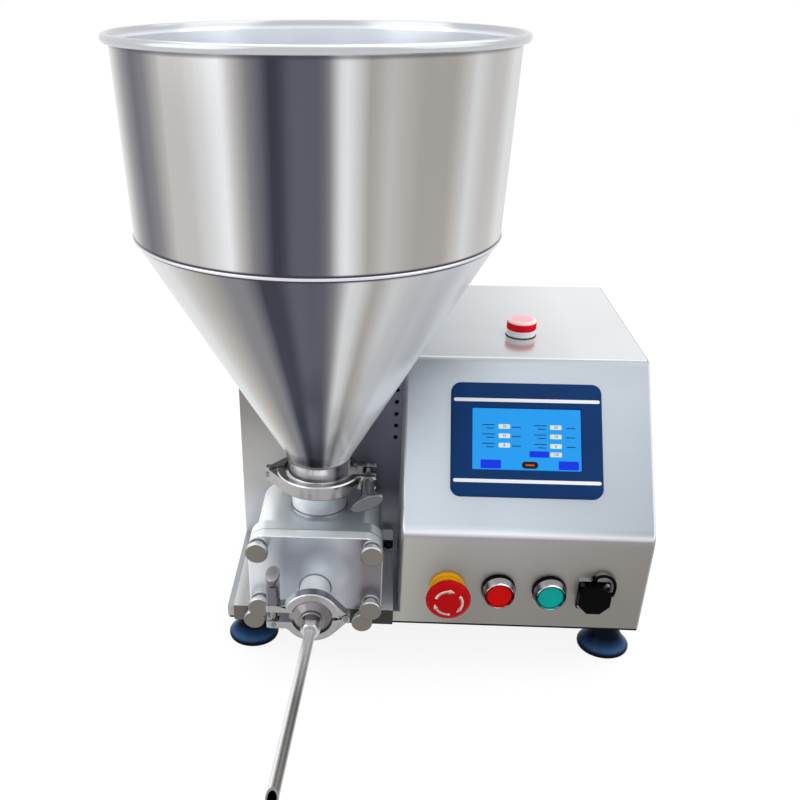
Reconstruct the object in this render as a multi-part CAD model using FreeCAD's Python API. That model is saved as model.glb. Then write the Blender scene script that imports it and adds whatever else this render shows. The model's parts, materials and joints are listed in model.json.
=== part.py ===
"""Bench-top filling machine with a hopper, a gear pump and a nozzle, beside its control box.

Machine axes while modelling, in millimetres: X = 0 is the control box's left wall, Y = 0 its
front panel with +Y towards the back, and Z = 0 the table.  Every piece is moved by ORIGIN as it
is written, so that the origin lies on the table under the middle of the whole machine.
"""
import FreeCAD, Part
import math
import os

V = FreeCAD.Vector

# ---------------------------------------------------------------- driving dimensions
# cabinet
box_width = 221.0            # control box, left wall to right wall
pump_bay_width = 159.0       # bay for the pump, left of the control box
cabinet_depth = 340.0
cabinet_top = 268.0
sheet = 1.5                  # stainless sheet
base_thick = 2.5             # black base plate under the sheet metal
underside = 52.0             # lower edge of the sheet metal
shelf_height = 11.0          # folded shelf that carries the pump plate
bay_depth = 133.0            # front panel to the wall behind the pump
slope_foot = 147.0           # height where the sloping panel would meet the front panel
slope_run = 115.0            # depth of the sloping panel
foot_fold_radius = 25.0
crest_fold_radius = 12.0
corner_fold_radius = 3.0
rear_recess = 2.0            # rear cover lies this far inside the rear edge
rear_flange = 12.0
vent_holes = 6
vent_pitch = 12.5
vent_radius = 2.2
vent_first_height = 177.0
vent_inset = 6.0             # from the control box wall
slot_width = 44.0            # cooling slots in the rear cover
slot_height = 4.0
slot_rows = 7
slot_pitch = 12.0
slot_first_height = 150.0
slot_inset = 50.0            # slot centres from the side walls

# feet
foot_radius = 24.5
foot_neck_radius = 12.5
foot_inset_x = 17.0
foot_inset_y = 43.0
foot_rim = 3.5
foot_flare_height = 27.0     # top of the trumpet-shaped flare
flare_steps = 10
flare_power = 1.9            # how sharply the flare opens
stud_radius = 4.0
stud_nut_radius = 7.5
stud_nut_height = 6.5

# touch panel on the slope
screen_x = 108.5
screen_up = 88.6             # along the slope, from its foot
bezel_width = 134.0
bezel_height = 106.0
bezel_thick = 5.0
bezel_corner = 7.0
glass_width = 96.0
glass_height = 57.0
glass_recess = 0.6
glass_thick = 1.8
housing_width = 118.0
housing_height = 92.0
housing_depth = 32.0

# controls on the front panel
control_row = 92.5           # height of the switches above the table
estop_x = 43.0
stop_x = 89.0
start_x = 134.5
panel_hole_radius = 11.15
barrel_radius = 10.9
barrel_depth = 24.0          # behind the panel's face
estop_radius = 20.0
estop_reach = 26.4
estop_travel = 4.0
estop_collar_radius = 16.0
estop_collar_thick = 4.0
estop_flange_radius = 13.5
estop_flange_thick = 3.0
estop_stem_radius = 4.0
button_base_radius = 15.3
button_base_thick = 4.0
bezel_ring_radius = 14.6
bezel_front_radius = 13.7
bezel_ring_reach = 13.4
button_radius = 11.7
button_recess = 1.4
button_travel = 3.0
button_head = 4.0
button_stem_radius = 6.0
nut_radius = 14.5
nut_thick = 4.0
contact_width = 30.0
contact_height = 42.0
contact_length = 34.0

# pedal socket
socket_x = 173.7
socket_height = 90.2
socket_flange_width = 28.4
socket_flange_height = 29.6
socket_flange_thick = 3.0
socket_barrel_radius = 11.0
socket_body_radius = 9.5
socket_body_depth = 18.0
socket_cap_radius = 15.2     # to the corners
socket_cap_sides = 8
socket_cap_reach = 13.4
tether_radius = 1.4
tether_loop_radius = 11.0
socket_screw_inset = 3.4
socket_screw_radius = 2.0      # domed head
tether_ring_thick = 1.3

# signal lamp on the top
lamp_x = 112.0
lamp_y = 179.5
lamp_base_radius = 14.0
lamp_base_height = 4.6
lamp_lens_radius = 14.2
lamp_lens_height = 11.8
lamp_lens_bevel = 3.4        # down the side and in over the top

# pump plate and its knobs
plate_side_gap = 6.0
plate_thick = 3.0
plate_flange_height = 16.0
plate_knob_height = 57.0
plate_knob_x = (-133.0, -33.5)
clip_width = 11.0
clip_depth = 20.0
clip_height = 9.0

# wire eye on the side of the pump
eye_radius = 3.0
eye_wire = 0.8
eye_y = 17.0
eye_height = 124.5

# pump
pump_x = -76.5
pump_width = 121.0
pump_height = 77.0
pump_corner = 16.0
cover_thick = 12.0
gasket_thick = 1.0
flange_thick = 14.0
pump_length = 106.0          # cover face to the back of the body
body_inset = 2.5             # body behind its front flange
knob_spacing_x = 101.0
knob_spacing_z = 58.6
rotor_spacing = 38.0
rotor_lobes = 6
rotor_length = 28.0
rotor_clearance = 0.35
drive_shaft_radius = 8.0
bush_wall = 3.0
bush_length = 16.0
cover_bush_length = 7.0
seal_length = 8.0
port_rise = 22.0             # foot of the inlet port above the rotors' axes
throat_width = 28.0          # opening from the port down to the rotors
throat_wall = 2.0
throat_low = 8.0
throat_high = 34.0

# knobs
knob_radius = 10.0
knob_thick = 5.0
knob_neck_radius = 6.0
knob_collar_radius = 8.5
knob_collar_thick = 2.6
knob_reach = 15.5
knob_shank_radius = 4.0
knob_shank_length = 22.0
plate_knob_reach = 9.6
plate_knob_thick = 4.0
plate_shank_radius = 3.0
plate_shank_length = 14.0

# inlet, from the pump to the hopper
neck_radius = 25.4
tube_wall = 1.6
ferrule_radius = 34.5
inlet_joint = 173.0          # height of the joint between pump and hopper
hopper_y = 59.0
clamp_radius = 39.0
clamp_height = 13.5
inlet_ear_gap = 21.0
inlet_bolt_out = 45.0
inlet_ear_out = 52.5
inlet_ear_thick = 5.0
inlet_hinge_out = 45.5
inlet_nut_hub = 26.0
inlet_wing_span = 31.0
inlet_nut_turn = 27.0

# hopper
hopper_top = 534.0
rim_radius = 147.5
seam_radius = 144.0
seam_height = 395.0
cone_foot_radius = 28.3
cone_foot_height = 193.5
lip_roll = 3.2
seam_bead = 1.2
hopper_wall = 1.5

# outlet on the cover
outlet_height = 89.5
outlet_reach = 42.0          # cover face to the clamped joint
outlet_tube_radius = 13.8
outlet_ferrule_radius = 20.0
outlet_clamp_radius = 25.0
outlet_clamp_height = 10.5
outlet_ear_gap = 10.0
outlet_bolt_out = 33.5
outlet_ear_out = 40.0
outlet_ear_thick = 7.0
outlet_hinge_out = 29.5
outlet_nut_hub = 18.0
outlet_wing_span = 25.0
outlet_nut_turn = 90.0

# clamps
clamp_gasket = 1.5
ferrule_edge = 2.4
ferrule_angle = 20.0
groove_clearance = 0.15
clamp_lip = 1.8              # how far the jaw reaches in past the ferrule's edge
bolt_radius = 3.0
pin_radius = 2.2
eye_wall = 1.4               # swing bolt's eye beyond the bolt's own radius
wing_width = 12.0
wing_thick = 12.0            # along the bolt
wing_rim = 4.5               # straight edge of the oval wing
nut_hub_radius = 6.0
nut_end_wall = 2.5           # wing nuts are closed over the bolt's end
clamp_chamfer = 0.08         # of the clamp's height
knuckle_radius = 3.4
knuckle_room = 0.8
knuckle_play = 0.15          # between the knuckles along the pin
jaw_gap = 0.5                # each jaw to the middle plane, at the hinge
jaw_gap_inside = 2.2         # the same at the ring's inside
jaw_band = 2.5               # thickness of the ring outside its groove
jaw_overlap = 3.0            # how far ears and hinge arms run into the ring
hinge_arm = 4.0              # half the width of the hinge arms
groove_room = 0.8            # ferrule's edge to the floor of the groove
gasket_width = 7.4
nut_room = 0.3               # wing nut's hub to the jaw's rounded corner
shank_start = 0.6            # swing bolt's shank to its pin
eye_play = 0.3
rim_bevel = 1.0
ear_rounding = 2.5
pin_overhang = 0.8

# nozzle
cap_rise = 6.0
boss_radius = 10.0
boss_length = 2.0
nozzle_neck_radius = 6.5
nozzle_neck_length = 6.0
hex_flats = 14.8
hex_length = 8.0
tube_radius = 4.7
nozzle_wall = 1.6
nozzle_length = 190.0        # from the hexagon nut to the tip
nozzle_turn = 3.9            # the tube leans this far to the left, in degrees
nozzle_bend_radius = 40.0
tip_cut = 12.0               # length of the slanting cut at the tip

# drive inside the cabinet
housing_radius = 33.0
coupling_radius = 17.0
coupling_length = 34.0
coupling_gap = 3.0
output_radius = 7.0          # gearbox's output shaft
output_reach = 12.0          # of that shaft into the gearbox
gearbox_side = 70.0
gearbox_length = 60.0
motor_radius = 33.0
motor_rear_gap = 11.0        # motor to the rear cover
bracket_thick = 5.0
bracket_width = 96.0
supply_size = (99.0, 130.0, 40.0)
supply_gap = 30.0            # from the inner wall
inlet_size = (48.0, 28.0)
inlet_depth = 24.0
inlet_x = 172.0
inlet_height = 96.0

# clearances
seat = 0.3                   # a turning or sliding face beside its seat
slip = 0.06                  # shaft in its bore, on the radius
bolt_gap = 0.4               # bolt or barrel in a plain hole, on the radius

# ---------------------------------------------------------------- derived places
left = -pump_bay_width
shelf_top = underside + shelf_height
plate_top = shelf_top + plate_thick
plate_front = -plate_thick
pump_front = plate_front                      # the cover's face is flush with the plate's flange
pump_bottom = plate_top
pump_top = pump_bottom + pump_height
pump_middle = pump_bottom + pump_height / 2
gasket_front = pump_front + cover_thick
body_front = gasket_front + gasket_thick
body_back = pump_front + pump_length
slope_angle = math.degrees(math.atan2(cabinet_top - slope_foot, slope_run))
foot_top = underside - base_thick
drive_x = pump_x - rotor_spacing / 2
idler_x = pump_x + rotor_spacing / 2
rotor_tip = rotor_spacing / 2 * (1 + 1 / rotor_lobes)
chamber_radius = rotor_tip + rotor_clearance
chamber_back = body_front + rotor_length + 2 * seat
outlet_joint = pump_front - outlet_reach
nozzle_cap_front = outlet_joint - clamp_gasket / 2 - ferrule_edge
boss_front = nozzle_cap_front - cap_rise - boss_length
neck_front = boss_front - nozzle_neck_length
hex_front = neck_front - hex_length
nozzle_tip_y = hex_front - nozzle_length
rim_outer = rim_radius + 2 * lip_roll
ORIGIN = V(((pump_x - rim_outer) + box_width) / 2, (nozzle_tip_y + cabinet_depth) / 2, 0)


# ---------------------------------------------------------------- shape helpers
def box(x0, x1, y0, y1, z0, z1):
    return Part.makeBox(x1 - x0, y1 - y0, z1 - z0, V(x0, y0, z0))


def rod(x, y, z, radius, length, axis=V(0, 1, 0)):
    """Cylinder that starts at a point and runs along an axis."""
    return Part.makeCylinder(radius, length, V(x, y, z), axis)


def tube(x, y, z, outer, inner, length, axis=V(0, 1, 0)):
    return rod(x, y, z, outer, length, axis).cut(rod(x, y, z, inner, length, axis))


def fuse(first, *others):
    return first.fuse(list(others)).removeSplitter() if others else first


def rounded_outline(corners, radii):
    """Closed wire through corners in order, each corner rounded by its own radius."""
    edges = []
    count = len(corners)
    starts = []
    ends = []
    for i, corner in enumerate(corners):
        before = (corners[i - 1] - corner).normalize()
        after = (corners[(i + 1) % count] - corner).normalize()
        if radii[i] <= 0:
            starts.append(corner)
            ends.append(corner)
            continue
        half = before.getAngle(after) / 2
        back = radii[i] / math.tan(half)
        middle = (before + after).normalize()
        centre = corner + middle * (radii[i] / math.sin(half))
        first = corner + before * back
        last = corner + after * back
        edges.append(Part.Arc(first, centre - middle * radii[i], last).toShape())
        starts.append(first)
        ends.append(last)
    for i in range(count):
        a = ends[i]
        b = starts[(i + 1) % count]
        if a.distanceToPoint(b) > 1e-6:
            edges.append(Part.makeLine(a, b))
    return Part.Wire(Part.__sortEdges__(edges))


def slab(corners, radii, direction):
    return Part.Face(rounded_outline(corners, radii)).extrude(direction)


def rounded_plate(width, height, thick, corner, x=0.0, y=0.0, z=0.0):
    """Plate in the XY plane centred on x, y, from z upwards, with rounded corners."""
    w = width / 2
    h = height / 2
    corners = [V(x - w, y - h, z), V(x + w, y - h, z), V(x + w, y + h, z), V(x - w, y + h, z)]
    return slab(corners, [corner] * 4, V(0, 0, thick))


def pump_block(width, height, corner, y0, y1):
    """Block across the pump's section, centred on the pump and standing on its plate."""
    w = width / 2
    low = pump_bottom
    high = pump_bottom + height
    foot_corner = corner * 0.35
    corners = [V(pump_x - w, y0, low), V(pump_x + w, y0, low), V(pump_x + w, y0, high),
            V(pump_x - w, y0, high)]
    return slab(corners, [foot_corner, foot_corner, corner, corner], V(0, y1 - y0, 0))


def prism(sides, radius, length, turn=0.0):
    """Regular prism along +Z from the origin, radius to its corners."""
    corners = [V(radius * math.cos(math.radians(turn + 360 * i / sides)),
                 radius * math.sin(math.radians(turn + 360 * i / sides)), 0) for i in range(sides)]
    return Part.Face(Part.makePolygon(corners + [corners[0]])).extrude(V(0, 0, length))


def revolved(points, centre=V(0, 0, 0), axis=V(0, 0, 1)):
    """Solid of revolution from (radius, height) points, on an axis through centre."""
    wire = Part.makePolygon([V(r, 0, h) for r, h in points + [points[0]]])
    body = Part.Face(wire).revolve(V(0, 0, 0), V(0, 0, 1), 360)
    turn = FreeCAD.Rotation(V(0, 0, 1), axis)
    body.Placement = FreeCAD.Placement(centre, turn)
    return body


def facing_front(x, y, z, piece):
    """Turn a piece drawn along +Z so that it points out of the front panel, at a point."""
    piece.Placement = FreeCAD.Placement(V(x, y, z), FreeCAD.Rotation(V(1, 0, 0), 90))
    return piece


def eased(piece, radius, keep):
    """Round the edges of a piece that the test keep accepts."""
    edges = [edge for edge in piece.Edges if keep(edge)]
    return piece.makeFillet(radius, edges)


# ---------------------------------------------------------------- cabinet
def control_box_solid(inset):
    """Control box outline, drawn in by inset on every side, open downwards and to the back."""
    rise = math.radians(slope_angle)
    low = underside if inset == 0 else underside - 1
    back = cabinet_depth if inset == 0 else cabinet_depth + 1
    high = cabinet_top - inset
    foot = slope_foot - inset * (1 - math.sin(rise)) / math.cos(rise)
    crest = (high - slope_foot + inset / math.cos(rise)) / math.tan(rise)
    corners = [V(inset, inset, low), V(inset, inset, foot), V(inset, crest, high), V(inset, back, high),
            V(inset, back, low)]
    radii = [0, foot_fold_radius - inset, crest_fold_radius - inset, 0, 0]
    return slab(corners, radii, V(box_width - 2 * inset, 0, 0))


def outer_fold(edge):
    """Side edges of the control box's front, slope and top, and the upright left rear part."""
    near = edge.BoundBox
    flat_x = near.XLength < 1e-6
    on_right = flat_x and abs(near.XMin - box_width) < 1e-6 and near.ZMax > underside + 1
    at_back = near.YMin > cabinet_depth - 1e-6
    at_base = near.ZMax < underside + 1e-6
    before_crest = near.YMax < slope_run + crest_fold_radius and near.ZMin >= underside - 1e-6
    on_left = flat_x and abs(near.XMin) < 1e-6 and before_crest and near.ZMax > shelf_top + 1
    in_bay = abs(near.YMax - near.YMin) < 1e-6 and near.YMin > 1
    floor_edge = abs(near.ZMax - near.ZMin) < 1e-6 and near.ZMax < shelf_top + 1e-6
    return (on_right or on_left) and not (at_back or at_base or in_bay or floor_edge)


def screen_placement():
    """Frame on the slope: X to the right, Y up the slope, Z out of the panel."""
    rise = math.radians(slope_angle)
    point = V(screen_x, screen_up * math.cos(rise), slope_foot + screen_up * math.sin(rise))
    return FreeCAD.Placement(point, FreeCAD.Rotation(V(1, 0, 0), slope_angle))


def rear_screw_places():
    """Screws of the rear cover: three along the top and bottom, one more on each side."""
    inset = rear_flange / 2 + sheet
    right = box_width - inset
    west = left + inset
    low = underside + inset
    high = cabinet_top - inset
    middle_x = (west + right) / 2
    middle_z = (low + high) / 2
    return [(x, z) for z in (low, high) for x in (west, middle_x, right)] + [(west, middle_z),
            (right, middle_z)]


def foot_places():
    xs = (left + foot_inset_x, box_width - foot_inset_x)
    ys = (foot_inset_y, cabinet_depth - foot_inset_y)
    return [(x, y) for x in xs for y in ys]


def cabinet_body():
    shell = control_box_solid(0)
    shell = shell.fuse([box(left, 1, bay_depth, cabinet_depth, underside, cabinet_top),
                        box(left, 1, 0, bay_depth + 1, underside, shelf_top)]).removeSplitter()
    shell = eased(shell, corner_fold_radius, outer_fold)
    inner_back = cabinet_depth + 1
    shell = shell.cut([control_box_solid(sheet),
                       box(left + sheet, sheet + 1, bay_depth + sheet, inner_back, underside - 1,
                               cabinet_top - sheet),
                       box(left + sheet, -seat, sheet, bay_depth + sheet + 1, underside - 1,
                               shelf_top - sheet)])
    flange_back = cabinet_depth - rear_recess - sheet
    flange = box(left + sheet, box_width - sheet, flange_back - sheet, flange_back, underside,
            cabinet_top - sheet)
    opening = sheet + rear_flange
    flange = flange.cut(box(left + opening, box_width - opening, flange_back - 5, flange_back + 5,
                            underside + rear_flange, cabinet_top - opening))
    shell = shell.fuse(flange)
    holes = [rod(x, -1, control_row, panel_hole_radius, sheet + 2) for x in (estop_x, stop_x, start_x)]
    holes.append(rod(socket_x, -1, socket_height, socket_body_radius + bolt_gap, sheet + 2))
    holes += [rod(x, -1, z, 1.2, sheet + 2) for x, z in socket_screw_places()]
    holes.append(rod(lamp_x, lamp_y, cabinet_top - sheet - 1, panel_hole_radius, sheet + 2, V(0, 0, 1)))
    holes.append(rod(drive_x, bay_depth - 1, pump_middle, housing_radius - 6, sheet + 2))
    holes += [rod(left + pump_bay_width - vent_inset, bay_depth - 1, vent_first_height + i * vent_pitch,
                  vent_radius, sheet + 2) for i in range(vent_holes)]
    holes += [rod(x, -1, plate_knob_height, plate_shank_radius + slip, sheet + 2) for x in plate_knob_x]
    holes += [rod(x, flange_back - sheet - 1, z, 1.65, sheet + 2) for x, z in rear_screw_places()]
    cutout = rounded_plate(housing_width + 1, housing_height + 1, 20, 2, z=-10)
    cutout.Placement = screen_placement()
    return shell.cut(holes + [cutout])


def base_plate():
    plate = box(left + 1, box_width - 1, 0.8, cabinet_depth - 1, foot_top, underside)
    return plate.cut([rod(x, y, foot_top - 1, stud_radius + bolt_gap, base_thick + 2, V(0, 0, 1)) for x,
            y in foot_places()])


def rear_cover():
    front = cabinet_depth - rear_recess - sheet
    fit = 0.5
    plate = box(left + sheet + fit, box_width - sheet - fit, front, front + sheet, underside + fit,
            cabinet_top - sheet - fit)
    holes = [rod(x, front - 1, z, 2.2, sheet + 2) for x, z in rear_screw_places()]
    holes.append(box(inlet_x - inlet_size[0] / 2, inlet_x + inlet_size[0] / 2, front - 1, front + sheet + 1,
                     inlet_height - inlet_size[1] / 2, inlet_height + inlet_size[1] / 2))
    for x in (left + slot_inset, box_width - slot_inset):
        for row in range(slot_rows):
            z = slot_first_height + row * slot_pitch
            slot = rounded_plate(slot_width, slot_height, sheet + 2, slot_height / 2 - 0.01)
            slot.Placement = FreeCAD.Placement(V(x, front + sheet + 1, z), FreeCAD.Rotation(V(1, 0, 0), 90))
            holes.append(slot)
    return plate.cut(holes)


def socket_screw_places():
    w = socket_flange_width / 2 - socket_screw_inset
    h = socket_flange_height / 2 - socket_screw_inset
    return [(socket_x + i * w, socket_height + j * h) for i in (-1, 1) for j in (-1, 1)]


def panel_screws():
    """Rear cover screws with domed heads, and the small screws of the pedal socket."""
    screws = []
    face = cabinet_depth - rear_recess
    for x, z in rear_screw_places():
        head = rod(x, face, z, 3.8, rear_recess - 0.4)
        shank = rod(x, face - sheet - sheet - 4, z, 1.6, sheet + sheet + 4)
        screws.append(fuse(head, shank))
    for x, z in socket_screw_places():
        head = rod(x, -socket_flange_thick - 1.2, z, socket_screw_radius, 1.2)
        shank = rod(x, -socket_flange_thick, z, 1.1, socket_flange_thick + sheet + 2)
        screws.append(fuse(head, shank))
    return Part.makeCompound(screws)


def rubber_feet():
    feet = []
    for x, y in foot_places():
        profile = [(0, 0), (foot_radius - 1, 0), (foot_radius, 1), (foot_radius, foot_rim)]
        top = foot_top
        for i in range(1, flare_steps + 1):
            t = i / flare_steps
            swell = (1 - t) ** flare_power
            radius = foot_neck_radius + (foot_radius - foot_neck_radius) * swell
            profile.append((radius, foot_rim + (foot_flare_height - foot_rim) * t))
        profile += [(foot_neck_radius, top), (stud_radius, top), (stud_radius, top * 0.45), (0, top * 0.45)]
        feet.append(revolved(profile, V(x, y, 0)))
    return Part.makeCompound(feet)


def foot_studs():
    studs = []
    for x, y in foot_places():
        low = foot_top * 0.45
        stud = rod(x, y, low, stud_radius, underside + stud_nut_height + 1.5 - low, V(0, 0, 1))
        nut = prism(6, stud_nut_radius, stud_nut_height)
        nut.translate(V(x, y, underside))
        studs.append(fuse(stud, nut))
    return Part.makeCompound(studs)


# ---------------------------------------------------------------- touch panel
def screen_bezel():
    plate = rounded_plate(bezel_width, bezel_height, bezel_thick, bezel_corner)
    plate = eased(plate, 1.6, lambda e: e.BoundBox.ZMin > bezel_thick - 1e-6)
    ledge = 2.0
    window = rounded_plate(glass_width - 2 * ledge, glass_height - 2 * ledge, bezel_thick + 2, 1, z=-1)
    rebate = rounded_plate(glass_width, glass_height, bezel_thick, 1,
            z=bezel_thick - glass_recess - glass_thick)
    plate = plate.cut([window, rebate])
    plate.Placement = screen_placement()
    return plate


def screen_glass():
    fit = 0.2
    glass = rounded_plate(glass_width - 2 * fit, glass_height - 2 * fit, glass_thick, 1,
            z=bezel_thick - glass_recess - glass_thick)
    glass.Placement = screen_placement()
    return glass


def screen_housing():
    case = rounded_plate(housing_width, housing_height, housing_depth, 3, z=-housing_depth)
    case.Placement = screen_placement()
    return case


# ---------------------------------------------------------------- switches
def front_turned(x, z, points):
    """Turned piece on the front panel; points are (radius, distance out of the panel)."""
    return revolved(points, V(x, 0, z), V(0, -1, 0))


def estop_collar():
    r = estop_collar_radius
    t = estop_collar_thick
    return front_turned(estop_x, control_row, [(panel_hole_radius, 0), (r, 0), (r, t - 1), (r - 1, t),
            (panel_hole_radius, t)])


def estop_barrel():
    t = estop_collar_thick
    f = estop_flange_radius
    bore = estop_stem_radius + slip
    points = [(bore, -barrel_depth), (barrel_radius, -barrel_depth), (barrel_radius, t), (f, t),
              (f, t + estop_flange_thick), (barrel_radius, t + estop_flange_thick), (barrel_radius,
                      t + estop_flange_thick + 3), (bore, t + estop_flange_thick + 3)]
    return front_turned(estop_x, control_row, points)


def estop_stem():
    start = -barrel_depth + estop_travel + seat
    return front_turned(estop_x, control_row, [(0, start), (estop_stem_radius, start),
            (estop_stem_radius, estop_reach - 5), (0, estop_reach - 5)])


def estop_cap():
    """Mushroom head, hollow behind so that it closes over the barrel when pressed."""
    back = estop_collar_thick + estop_flange_thick + estop_travel + 0.6
    cavity = barrel_radius + 0.8
    depth = estop_collar_thick + estop_flange_thick + 3 + estop_travel + 0.6
    bore = estop_stem_radius + slip
    r = estop_radius
    face = estop_reach
    points = [(cavity, back), (cavity + 3, back), (r - 1.2, face - 8.5), (r, face - 6.8), (r, face - 5.2),
            (r - 1, face - 3.4),
              (r - 3.2, face - 1.9), (r - 7, face - 0.8), (r - 13, face - 0.15), (0, face), (0,
                      face - 5 + seat), (bore, face - 5 + seat), (bore, depth), (cavity, depth)]
    return front_turned(estop_x, control_row, points)


def button_bases():
    r = button_base_radius
    t = button_base_thick
    points = [(panel_hole_radius, 0), (r, 0), (r, t - 0.8), (r - 0.8, t), (panel_hole_radius, t)]
    return Part.makeCompound([front_turned(x, control_row, points) for x in (stop_x, start_x)])


def button_bezels():
    """Chrome ring with its threaded barrel through the panel."""
    r = bezel_ring_radius
    t = button_base_thick
    face = bezel_ring_reach
    bore = button_radius + 0.35
    floor = face - button_recess - button_head - button_travel - 0.4
    stem_bore = button_stem_radius + slip
    points = [(stem_bore, -barrel_depth + 4), (barrel_radius, -barrel_depth + 4), (barrel_radius, t),
            (r - 0.5, t), (r, t + 0.8),
              (bezel_front_radius, face - 2.2), (bezel_front_radius - 0.5,
                      face - 0.5), (bezel_front_radius - 1.0, face), (bore + 0.3, face), (bore,
                      face - 0.5), (bore, floor), (stem_bore, floor)]
    return Part.makeCompound([front_turned(x, control_row, points) for x in (stop_x, start_x)])


def push_button(x):
    face = bezel_ring_reach - button_recess
    back = face - button_head
    tail = -barrel_depth + 4 + button_travel + seat
    r = button_radius
    points = [(0, tail), (button_stem_radius, tail), (button_stem_radius, back), (r, back), (r, face - 1.2),
            (r - 1.2, face), (r - 3, face - 0.3), (0, face - 0.3)]
    return front_turned(x, control_row, points)


def contact_blocks():
    """Contact blocks hung on the backs of the three switches."""
    blocks = []
    for x, start in ((estop_x, barrel_depth), (stop_x, barrel_depth - 4), (start_x, barrel_depth - 4)):
        blocks.append(box(x - contact_width / 2, x + contact_width / 2, start, start + contact_length,
                          control_row - contact_height / 2, control_row + contact_height / 2))
    return Part.makeCompound(blocks)


def panel_nuts():
    """Ring nuts behind the panel: one for each switch and one for the lamp."""
    nuts = []
    for x in (estop_x, stop_x, start_x):
        nuts.append(tube(x, sheet, control_row, nut_radius, barrel_radius, nut_thick))
    nuts.append(tube(lamp_x, lamp_y, cabinet_top - sheet - nut_thick, nut_radius, barrel_radius, nut_thick,
            V(0, 0, 1)))
    return Part.makeCompound(nuts)


# ---------------------------------------------------------------- pedal socket and lamp
def pedal_socket():
    t = socket_flange_thick
    flange = rounded_plate(socket_flange_width, socket_flange_height, t, 2.5)
    flange = facing_front(socket_x, 0, socket_height, flange)
    barrel = front_turned(socket_x, socket_height, [(0, -socket_body_depth),
            (socket_body_radius, -socket_body_depth), (socket_body_radius, 0),
                                                    (socket_barrel_radius, 0), (socket_barrel_radius,
                                                            socket_cap_reach - 3.2), (0,
                                                            socket_cap_reach - 3.2)])
    socket = fuse(flange, barrel)
    return socket.cut([rod(x, -t - 1, z, 1.2, t + 2) for x, z in socket_screw_places()])


def socket_cap():
    back = socket_flange_thick + 1.6
    cap = prism(socket_cap_sides, socket_cap_radius, socket_cap_reach - back, 22.5)
    face = socket_cap_reach - back
    cap = eased(cap, 1.3, lambda e: e.BoundBox.ZMin > face - 1e-6)
    bore = Part.makeCylinder(socket_barrel_radius + slip, socket_cap_reach - 3.2 + seat - back + 1,
            V(0, 0, -1))
    return facing_front(socket_x, -back, socket_height, cap.cut(bore))


def socket_tether():
    """Strap that keeps the cap: a ring behind the cap and a loop up to the flange's top."""
    y = -socket_flange_thick
    screw_x = socket_flange_width / 2 - socket_screw_inset
    screw_z = socket_flange_height / 2 - socket_screw_inset
    ring_radius = math.hypot(screw_x, screw_z) - socket_screw_radius - seat
    ring = tube(socket_x, y - tether_ring_thick, socket_height, ring_radius, socket_barrel_radius + slip,
            tether_ring_thick)
    centre = V(socket_x + 6.8, y - tether_radius, socket_height + 10.6)
    loop = tether_loop_radius
    start = V(centre.x - loop * 0.7, centre.y, socket_height + socket_flange_height / 2 + 2.4)
    low = V(socket_x + socket_cap_radius + 1.7, centre.y, socket_height + 2)
    curve = Part.BSplineCurve()
    curve.interpolate([start, centre + V(-4.0, 0, loop * 0.95), centre + V(3.0, 0, loop * 0.97),
            centre + V(loop * 0.85, 0, loop * 0.5),
                       centre + V(loop, 0, -loop * 0.2), low])
    path = Part.Wire([curve.toShape()])
    section = Part.Wire([Part.makeCircle(tether_radius, start, curve.tangent(curve.FirstParameter)[0])])
    loop = path.makePipeShell([section], True, True)
    tab = box(socket_x + socket_barrel_radius + 1, low.x + tether_radius, y - 1.3, y - 0.05, low.z - 2,
            low.z + 2)
    foot = rod(start.x, y - 2 * tether_radius - 0.2, start.z, 1.9,
            0.2 + 2 * tether_radius + socket_flange_thick - 0.05)
    return fuse(ring, loop, tab, foot)


def signal_lamp_base():
    h = lamp_base_height
    r = lamp_base_radius
    points = [(0, -barrel_depth), (barrel_radius, -barrel_depth), (barrel_radius, 0), (r, 0), (r, h - 0.8),
            (r - 0.8, h), (0, h)]
    return revolved(points, V(lamp_x, lamp_y, cabinet_top))


def signal_lamp_lens():
    r = lamp_lens_radius
    h = lamp_lens_height
    b = lamp_lens_bevel
    points = [(0, 0), (r - 0.6, 0), (r, 0.6), (r, h - b), (r - 0.3 * b, h - 0.4 * b), (r - b, h - 0.1 * b),
            (r - 1.4 * b, h), (0, h)]
    return revolved(points, V(lamp_x, lamp_y, cabinet_top + lamp_base_height))


# ---------------------------------------------------------------- pump plate and knobs
def pump_plate():
    west = left + plate_side_gap
    east = -plate_side_gap + 1
    plate = box(west, east, plate_front, bay_depth - seat, shelf_top, plate_top)
    flange = box(west, east, plate_front, 0, plate_top - plate_flange_height, plate_top)
    clip_x = east - clip_width
    clip = box(clip_x, east, bay_depth - clip_depth - 8, bay_depth - 8, plate_top, plate_top + clip_height)
    plate = fuse(plate, flange, clip)
    return plate.cut([rod(x, plate_front - 1, plate_knob_height, plate_shank_radius + bolt_gap,
            plate_thick + 2) for x in plate_knob_x])


def knob(x, z, face, reach, thick, radius, shank, shank_length):
    """Turned thumb screw with its collar just clear of the face that it clamps."""
    c = knob_collar_radius * radius / knob_radius
    n = knob_neck_radius
    k = knob_collar_thick
    points = [(0, -shank_length), (shank - 0.5, -shank_length), (shank, -shank_length + 0.5), (shank, seat),
            (c, seat), (c, k - 0.5), (c - 0.6, k),
              (n, k + 0.4), (n, reach - thick - 0.8), (radius - 1.5, reach - thick), (radius,
                      reach - thick + 0.8), (radius, reach - 0.8),
              (radius - 0.8, reach), (0, reach)]
    return revolved(points, V(x, face, z), V(0, -1, 0))


def cover_knob_place(side, level):
    return pump_x + side * knob_spacing_x / 2, pump_middle + level * knob_spacing_z / 2


def cover_knob(side, level):
    x, z = cover_knob_place(side, level)
    return knob(x, z, pump_front, knob_reach, knob_thick, knob_radius, knob_shank_radius, knob_shank_length)


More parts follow.
